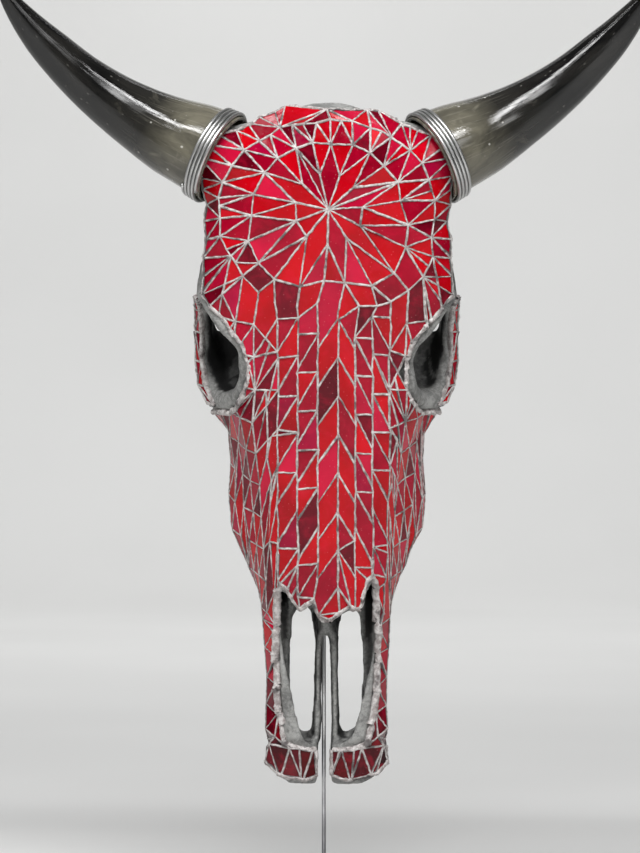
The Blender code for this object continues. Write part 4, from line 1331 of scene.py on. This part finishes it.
    def grout(self) -> None:
        """Makes the beads of grout, the blobs at their crossings and the lumpy rims."""
        lump = Gather()
        for ends in sorted(self.lines):
            facing = max(0.0, -self.nodes[ends[0]][1].y)
            wide = self.random.uniform(0.9, 1.35) * (0.5 + 0.5 * facing)
            tall = self.random.uniform(0.95, 1.4) * (0.55 + 0.45 * facing)
            # The third number is the foot value: full painted shadow at the foot, half on the
            # sides, none on the crest.
            section = [(-0.9 * wide, -1.3, 1.0), (-0.62 * wide, 0.2 * tall, 0.5),
                       (0, 0.62 * tall, 0.0),
                       (0.62 * wide, 0.2 * tall, 0.5), (0.9 * wide, -1.3, 1.0)]
            self.bead(lump, ends, [(x * MM, y * MM, f) for x, y, f in section])
        first = len(lump.places)
        for a, b, rim in self.rims:
            k = rim.value * self.random.uniform(0.75, 1.3)
            # The third numbers give the painted shadow on the rim, as on the beads.
            section = [(1.3, -1.2, 1.0), (1.0, 0.35, 0.3), (0.2 * k, 0.75, 0.0),
                       (-1.4 * k, 0.7 * k, 0.0), (-2.6 * k, -0.4, 0.1),
                       (-3.2 * k, -2.2, 0.3), (-3.0 * k, -4.2, 0.6)]
            self.bead(lump, (a, b), [(-x * MM, y * MM, f) for x, y, f in section])
        last = len(lump.places)
        used = {k for line in self.lines for k in line}
        edge = {k for a, b, rim in self.rims for k in (a, b) if rim is Rim.BROAD}
        for k in sorted(used | edge):
            place, up = self.nodes[k]
            facing = max(0.0, -up.y)
            size = (1.5 if k in edge else 0.52 + 0.4 * facing) * self.random.uniform(0.7, 1.25) * MM
            turn = Vector((0, 0, 1)).rotation_difference(up).to_matrix().to_4x4()
            shape = (Matrix.Translation(place - up * 0.25 * MM) @ turn
                     @ Matrix.Diagonal((1, 1, 0.85, 1)))
            bm = bmesh.new()
            bmesh.ops.create_uvsphere(bm, u_segments=8, v_segments=5, radius=size, matrix=shape)
            lump.take(bm)
        bm = lump.mesh(share="foot")
        noise.seed_set(NOISE_SEED)
        for number, vertex in enumerate(bm.verts):
            at = vertex.co * self.lumps
            push = noise.noise_vector(at) * 0.45 + noise.noise_vector(at * 2.7) * 0.22
            vertex.co += push * MM * (2.0 if first <= number < last else 1.0)
        obj = put("mosaic_grout", bm, GroutFinish().make(), True)
        mount(obj, Slot.BONE)


@dataclass
class Bone:
    """The skull's bone, without its teeth."""

    grain: float = 2.15 * MM
    rounds: int = 7
    sink: float = 1.5 * MM
    # How far and how many rays test how enclosed each point is, for the painted shade in the
    # hollows.
    reach: float = 55 * MM
    rays: int = 8
    under_glass: float = 4 * MM
    relief: float = 85

    def build(self) -> None:
        """Makes the bone from the CAD skull, with its relief and the painted shade of its hollows.
        """
        obj = put("bone", welded(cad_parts["skull"].data), BoneFinish().make(), True)
        grown = obj.modifiers.new("grain", "REMESH")
        grown.mode = "VOXEL"
        grown.voxel_size = self.grain
        bake(obj)
        soft = obj.modifiers.new("soft", "SMOOTH")
        soft.factor = 0.5
        soft.iterations = self.rounds
        bake(obj)
        glass = node_tree("glass_mosaic")
        bm = bmesh.new()
        bm.from_mesh(obj.data)
        bm.normal_update()
        tree = BVHTree.FromBMesh(bm)
        hollow = bm.verts.layers.float.new("hollow")
        random = Random(3)
        rays = [Vector([random.gauss(0, 1) for _ in range(3)]).normalized()
                for _ in range(self.rays)]
        moves = []
        for vertex in bm.verts:
            up = vertex.normal
            # Painted shade: the share of blocked rays marks how enclosed the point is, and the bone
            # material darkens it by that share.
            start = vertex.co + up * 0.8 * MM
            shut = 0.0
            for ray in rays:
                way = (ray + up * 1.15).normalized()
                hit = tree.ray_cast(start, way, self.reach)[0]
                if hit is not None:
                    shut += 1.0
            vertex[hollow] = min(1.0, max(0.0, (shut / len(rays) - 0.2) * 2.6))
            under = glass.find_nearest(vertex.co, self.under_glass)[0] is not None
            at = vertex.co * self.relief
            relief = noise.fractal(at, 1.0, 2.2, 4) * 0.55 + noise.noise(at * 6.5) * 0.16
            moves.append((vertex, up * (relief * MM - (self.sink if under else 0.0))))
        for vertex, move in moves:
            vertex.co += move
        for face in bm.faces:
            face.smooth = True
        bm.to_mesh(obj.data)
        bm.free()
        mount(obj, Slot.BONE, "skull")


@dataclass
class Section:
    """One ring of a horn: its middle, its direction, its radius and its distance from the mouth."""

    middle: Vector
    ahead: Vector
    radius: float
    along: float


@dataclass
class Horn:
    """One horn sheath, with the wire wound round its mouth."""

    side: int
    word: str
    around: int = 72
    steps: int = 10
    wire: float = 1.3 * MM
    turns: int = 4
    gap: float = 0.3 * MM
    axis = HORN_AXIS
    radii = HORN_RADII
    hollow_axis = HOLLOW_AXIS
    hollow_radii = HOLLOW_RADII

    def sections(self, axis: list, radii: list, steps: int) -> list[Section]:
        """Rings along a curved axis, in world metres."""
        path = [STANDING @ (Vector((self.side * p.x, p.y, p.z)) * MM) for p in spline(axis, steps)]
        widths = [v.x * MM for v in spline([(r, 0, 0) for r in radii], steps)]
        made, run = [], 0.0
        for k, (place, width) in enumerate(zip(path, widths)):
            if k:
                run += (place - path[k - 1]).length
            ahead = (path[min(k + 1, len(path) - 1)] - path[max(k - 1, 0)]).normalized()
            made.append(Section(place, ahead, width, run))
        return made

    def build(self) -> None:
        """Makes the sheath: its hollow first, from the inside out, then its outside to the tip."""
        inner = self.sections(self.hollow_axis, self.hollow_radii, 4)
        mouth = self.sections(self.axis, self.radii, self.steps)
        first = min(range(len(inner)), key=lambda k: (inner[k].middle - mouth[0].middle).length)
        rings = [Section(s.middle, s.ahead, s.radius, 0.0) for s in reversed(inner[first:])]
        rings.append(Section(mouth[0].middle, mouth[0].ahead, (self.radii[0] - 0.5) * MM, 0.0))
        rings += mouth
        bm = bmesh.new()
        run_layer = bm.verts.layers.float.new("run")
        turn_layer = bm.verts.layers.float.new("turn")
        up = Vector((0, 1, 0))
        frames = []
        for ring in rings:
            ahead = ring.ahead
            right = up.cross(ahead).normalized()
            back = ahead.cross(right).normalized()
            columns = (back, right, ahead, ring.middle)
            pose = Matrix([[column[k] for column in columns] for k in range(3)] + [[0, 0, 0, 1]])
            frames.append(pose @ Matrix.Diagonal((ring.radius, ring.radius, ring.radius, 1)))
        bmesh.ops.create_circle(bm, cap_ends=True, segments=self.around, radius=1.0)
        for vertex in bm.verts:
            vertex[turn_layer] = math.atan2(vertex.co.y, vertex.co.x) / math.tau % 1.0
        edges = list(bm.edges)
        verts = list(bm.verts)
        bmesh.ops.transform(bm, matrix=frames[0], verts=verts)
        for k in range(1, len(rings)):
            verts, edges = extruded(bm, edges)
            bmesh.ops.transform(bm, matrix=frames[k] @ frames[k - 1].inverted(), verts=verts)
            for vertex in verts:
                vertex[run_layer] = rings[k].along
        bmesh.ops.contextual_create(bm, geom=edges)
        bmesh.ops.recalc_face_normals(bm, faces=bm.faces)
        bm.normal_update()
        moves = []
        for vertex in bm.verts:
            run, turn = vertex[run_layer], vertex[turn_layer]
            if run <= 0:
                continue
            round_ = Vector((math.cos(turn * math.tau), math.sin(turn * math.tau), 0))
            streak = noise.noise(round_ * 9 + Vector((0, 0, run * 14 + 7 * self.side)))
            swell = noise.noise(Vector((run * 75, 3.0 * self.side, 0))) * max(0.0, 1 - run / 0.14)
            fine = noise.noise(round_ * 26 + Vector((0, 0, run * 30)))
            height = streak * 0.28 + swell * 0.22 + fine * 0.10
            moves.append((vertex, vertex.normal * height * MM))
        for vertex, move in moves:
            vertex.co += move
        layer = bm.loops.layers.uv.new("UVMap")
        for face in bm.faces:
            turns = [loop.vert[turn_layer] for loop in face.loops]
            wrap = max(turns) - min(turns) > 0.5
            for loop, turn in zip(face.loops, turns):
                loop[layer].uv = (turn + 1.0 if wrap and turn < 0.5 else turn, loop.vert[run_layer])
        obj = put("horn_sheath_" + self.word, bm, HORN, True)
        mount(obj, Slot.HORN, "horn_" + self.word)

    def binding(self) -> None:
        """Winds the wire round the mouth."""
        turn = STANDING.to_3x3()
        start, ahead = Vector(self.axis[0]) * MM, Vector(self.axis[1]) * MM
        axis = (ahead - start).normalized()
        taper = (self.radii[0] - self.radii[1]) * MM / (ahead - start).length
        start.x *= self.side
        axis.x *= self.side
        first = axis.orthogonal().normalized()
        second = axis.cross(first)
        fine = 48
        points = []
        for k in range(self.turns * fine + 1):
            along = 1.6 * MM + k / fine * (2 * self.wire + self.gap)
            radius = self.radii[0] * MM - taper * along + 0.5 * MM + self.wire
            angle = math.tau * k / fine
            arm = first * math.cos(angle) + second * math.sin(angle)
            place = start + axis * along + arm * radius
            points.append(SKULL_FOOT + turn @ place)
        obj = wire_piece("wire_binding_" + self.word, points, self.wire, WIRE_METAL)
        mount(obj, Slot.WIRE, "binding_" + self.word)


def wire_piece(name: str, points: list[Vector], radius: float,
               material: Material) -> Object:
    """A round wire along points.

    Args:
        name: The piece's name.
        points: Its middle line.
        radius: Its radius.
        material: Its finish.

    Returns:
        The wire as a mesh.
    """
    curve = bpy.data.curves.new(name, "CURVE")
    curve.dimensions = "3D"
    curve.bevel_depth = radius
    curve.bevel_resolution = 3
    curve.use_fill_caps = True
    line = curve.splines.new("POLY")
    line.points.add(len(points) - 1)
    for point, place in zip(line.points, points):
        point.co = (*place, 1)
    guide = link(bpy.data.objects.new(name + "_guide", curve))
    graph = bpy.context.evaluated_depsgraph_get()
    mesh = bpy.data.meshes.new_from_object(guide.evaluated_get(graph))
    bpy.data.objects.remove(guide, do_unlink=True)
    return put(name, welded(mesh), material, True)


@dataclass
class CheekTeeth:
    """The cheek teeth of both rows, each in its socket."""

    furrow_depth: float = 0.9 * MM

    def build(self) -> None:
        """Makes every tooth from the room of its CAD node."""
        material = EnamelFinish().make()
        for word in ("left", "right"):
            for number in range(1, 7):
                self.tooth(f"cheek_tooth_{word}_{number}", material)

    def tooth(self, node: str, material: Material) -> None:
        """Makes one two-lobed tooth with furrows in its grinding face."""
        bm = bmesh.new()
        bm.from_mesh(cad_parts[node].data)
        bmesh.ops.remove_doubles(bm, verts=bm.verts, dist=1e-6)
        bmesh.ops.transform(bm, matrix=STANDING.inverted(), verts=bm.verts)
        bmesh.ops.recalc_face_normals(bm, faces=bm.faces)
        bmesh.ops.dissolve_limit(bm, angle_limit=0.02, verts=bm.verts, edges=bm.edges)
        furrow = bm.verts.layers.float.new("furrow")
        low = Vector([min(v.co[k] for v in bm.verts) for k in range(3)])
        high = Vector([max(v.co[k] for v in bm.verts) for k in range(3)])
        middle = (low + high) / 2
        upright = [e for e in bm.edges if abs((e.verts[0].co - e.verts[1].co).normalized().y) > 0.9]
        bmesh.ops.bevel(bm, geom=upright, offset=0.9 * MM, segments=2, affect="EDGES", profile=0.5,
                        material=-1)
        for part in (-0.16, 0.0, 0.16):
            geom = list(bm.verts) + list(bm.edges) + list(bm.faces)
            height = middle.z + part * (high.z - low.z)
            bmesh.ops.bisect_plane(bm, geom=geom, plane_co=(0, 0, height), plane_no=(0, 0, 1),
                                   dist=1e-7)
        for vertex in bm.verts:
            if abs(vertex.co.z - middle.z) < 0.1 * MM:
                vertex.co.x = middle.x + (vertex.co.x - middle.x) * 0.84
        bm.normal_update()
        crowns = [f for f in bm.faces if f.normal.y > 0.9]
        half = (high.x - low.x) / 2
        for depth, step in ((0.0, 1.3), (-1.0, 0.6), (0.0, 1.4), (0.7, 0.7)):
            bmesh.ops.inset_region(bm, faces=crowns, thickness=0, depth=0)
            inner = {v for f in crowns for v in f.verts}
            share = 1 - step * MM / half
            half *= share
            bmesh.ops.scale(bm, vec=(share, 1, share), verts=list(inner),
                            space=Matrix.Translation(-middle))
            bmesh.ops.translate(bm, verts=list(inner), vec=(0, depth * MM, 0))
            for vertex in inner:
                vertex[furrow] = 0.9 if depth < 0 or step == 1.4 else 0.25
        bmesh.ops.transform(bm, matrix=STANDING, verts=bm.verts)
        bmesh.ops.recalc_face_normals(bm, faces=bm.faces)
        obj = put(node.replace("cheek_tooth", "cheek_tooth_crown"), bm, material, False)
        mount(obj, Slot.ENAMEL, node)


@dataclass
class Stand:
    """The round steel base and the thin rod that carries the skull."""

    rod_radius: float = 1.5 * MM
    rod_foot: float = 3.3 * MM
    edge: float = 1.1 * MM

    def build(self) -> None:
        """Makes the base and the rod."""
        steel = MetalFinish("stand_steel", (0.42, 0.42, 0.43), 0.3, 1200.0).make()
        bm = bmesh.new()
        bmesh.ops.create_cone(bm, cap_ends=True, segments=128, radius1=BASE_RADIUS,
                              radius2=BASE_RADIUS, depth=BASE_HEIGHT)
        bmesh.ops.translate(bm, verts=bm.verts, vec=(0, 0, BASE_HEIGHT / 2))
        sharp = [e for e in bm.edges if e.calc_face_angle(0) > 1.0]
        bmesh.ops.bevel(bm, geom=sharp, offset=self.edge, segments=4, affect="EDGES", profile=0.5,
                        material=-1)
        base = put("base_plate", bm, steel, False)
        for face in base.data.polygons:
            face.use_smooth = abs(face.normal.z) < 0.999
        mount(base, Slot.STAND_STEEL, "stand_base")
        bm = bmesh.new()
        bmesh.ops.create_cone(bm, cap_ends=True, segments=24, radius1=self.rod_radius,
                              radius2=self.rod_radius, depth=ROD_TIP - self.rod_foot)
        bmesh.ops.translate(bm, verts=bm.verts, vec=(*ROD_PLACE, (ROD_TIP + self.rod_foot) / 2))
        top = [f for f in bm.faces if f.normal.z > 0.9]
        bmesh.ops.inset_region(bm, faces=top, thickness=0.5 * MM, depth=0.4 * MM)
        bright = MetalFinish("rod_steel", (0.66, 0.66, 0.66), 0.24, 1500.0).make()
        rod = put("rod", bm, bright, True)
        mount(rod, Slot.STAND_STEEL, "stand_rod")


@dataclass
class Studio:
    """The pale backdrop, the soft lights and the camera."""

    eye: Triple = (-0.0048, -2.370, 0.3433)
    lens: float = 3265 * 36 / 853

    def build(self) -> None:
        """Sets up the studio."""
        bm = bmesh.new()
        start = [bm.verts.new((x, -5.0, 0)) for x in (-8, 8)]
        edges = [bm.edges.new(start)]
        sweep = [(3.8, 0.0)] + [(3.8 + 1.2 * math.sin(a), 1.2 - 1.2 * math.cos(a))
                                for a in (math.radians(d) for d in range(9, 91, 9))] + [(5.0, 5.0)]
        here = Vector((0, -5.0, 0))
        for y, z in sweep:
            new, edges = extruded(bm, edges)
            there = Vector((0, y, z))
            bmesh.ops.translate(bm, verts=new, vec=there - here)
            here = there
        bmesh.ops.recalc_face_normals(bm, faces=bm.faces)
        floor = put("backdrop", bm, PaperFinish().make(), True)
        world = bpy.data.worlds.new("studio")
        world.use_nodes = True
        world.node_tree.nodes["Background"].inputs[0].default_value = (0.9, 0.92, 0.95, 1)
        world.node_tree.nodes["Background"].inputs[1].default_value = 0.08
        bpy.context.scene.world = world
        bpy.context.scene.view_settings.view_transform = "Standard"
        self.light("key", (-0.2, -1.0, 1.7), (2.4, 0.22), 34)
        self.light("fill", (1.1, -1.5, 1.1), (0.5, 0.5), 3)
        self.light("front", (0.0, -1.5, 1.75), (1.3, 0.9), 6)
        self.light("sheen", (0.0, -1.5, 1.42), (0.5, 0.45), 5)
        self.light("wall", (0.0, 2.2, 3.2), (4.0, 1.5), 95, (0, 4.8, 0.6))
        camera = bpy.data.cameras.new("camera")
        camera.sensor_fit = "VERTICAL"
        camera.sensor_height = 36
        camera.lens = self.lens
        obj = link(bpy.data.objects.new("camera", camera))
        obj.location = self.eye
        obj.rotation_euler = (math.radians(90), 0, 0)
        bpy.context.scene.camera = obj

    def light(self, name: str, place: Triple, size: tuple[float, float], power: float,
              target: Triple = (0, -0.02, 0.36)) -> None:
        """Adds one soft light.

        Args:
            name: Its name.
            place: Where it hangs.
            size: Its width and height.
            power: Its power in watts.
            target: What it is aimed at, by default the middle of the skull.
        """
        lamp = bpy.data.lights.new(name, "AREA")
        lamp.shape = "RECTANGLE"
        lamp.size, lamp.size_y = size
        lamp.energy = power
        obj = link(bpy.data.objects.new(name, lamp))
        obj.location = place
        aim = Vector(target) - Vector(place)
        obj.rotation_euler = aim.to_track_quat("-Z", "Y").to_euler()


HORN = HornFinish().make()
WIRE_METAL = MetalFinish("wire_metal", (0.60, 0.60, 0.59), 0.27, 1800.0).make()


def main() -> None:
    """Builds and dresses every piece in order."""
    logging.basicConfig(level=logging.INFO, format="%(name)s: %(message)s")
    Bone().build()
    mosaic = Mosaic()
    mosaic.tiles()
    mosaic.grout()
    for side, word in ((-1, "left"), (1, "right")):
        horn = Horn(side, word)
        horn.build()
        horn.binding()
    CheekTeeth().build()
    Stand().build()
    Studio().build()


if __name__ == "__main__":
    main()
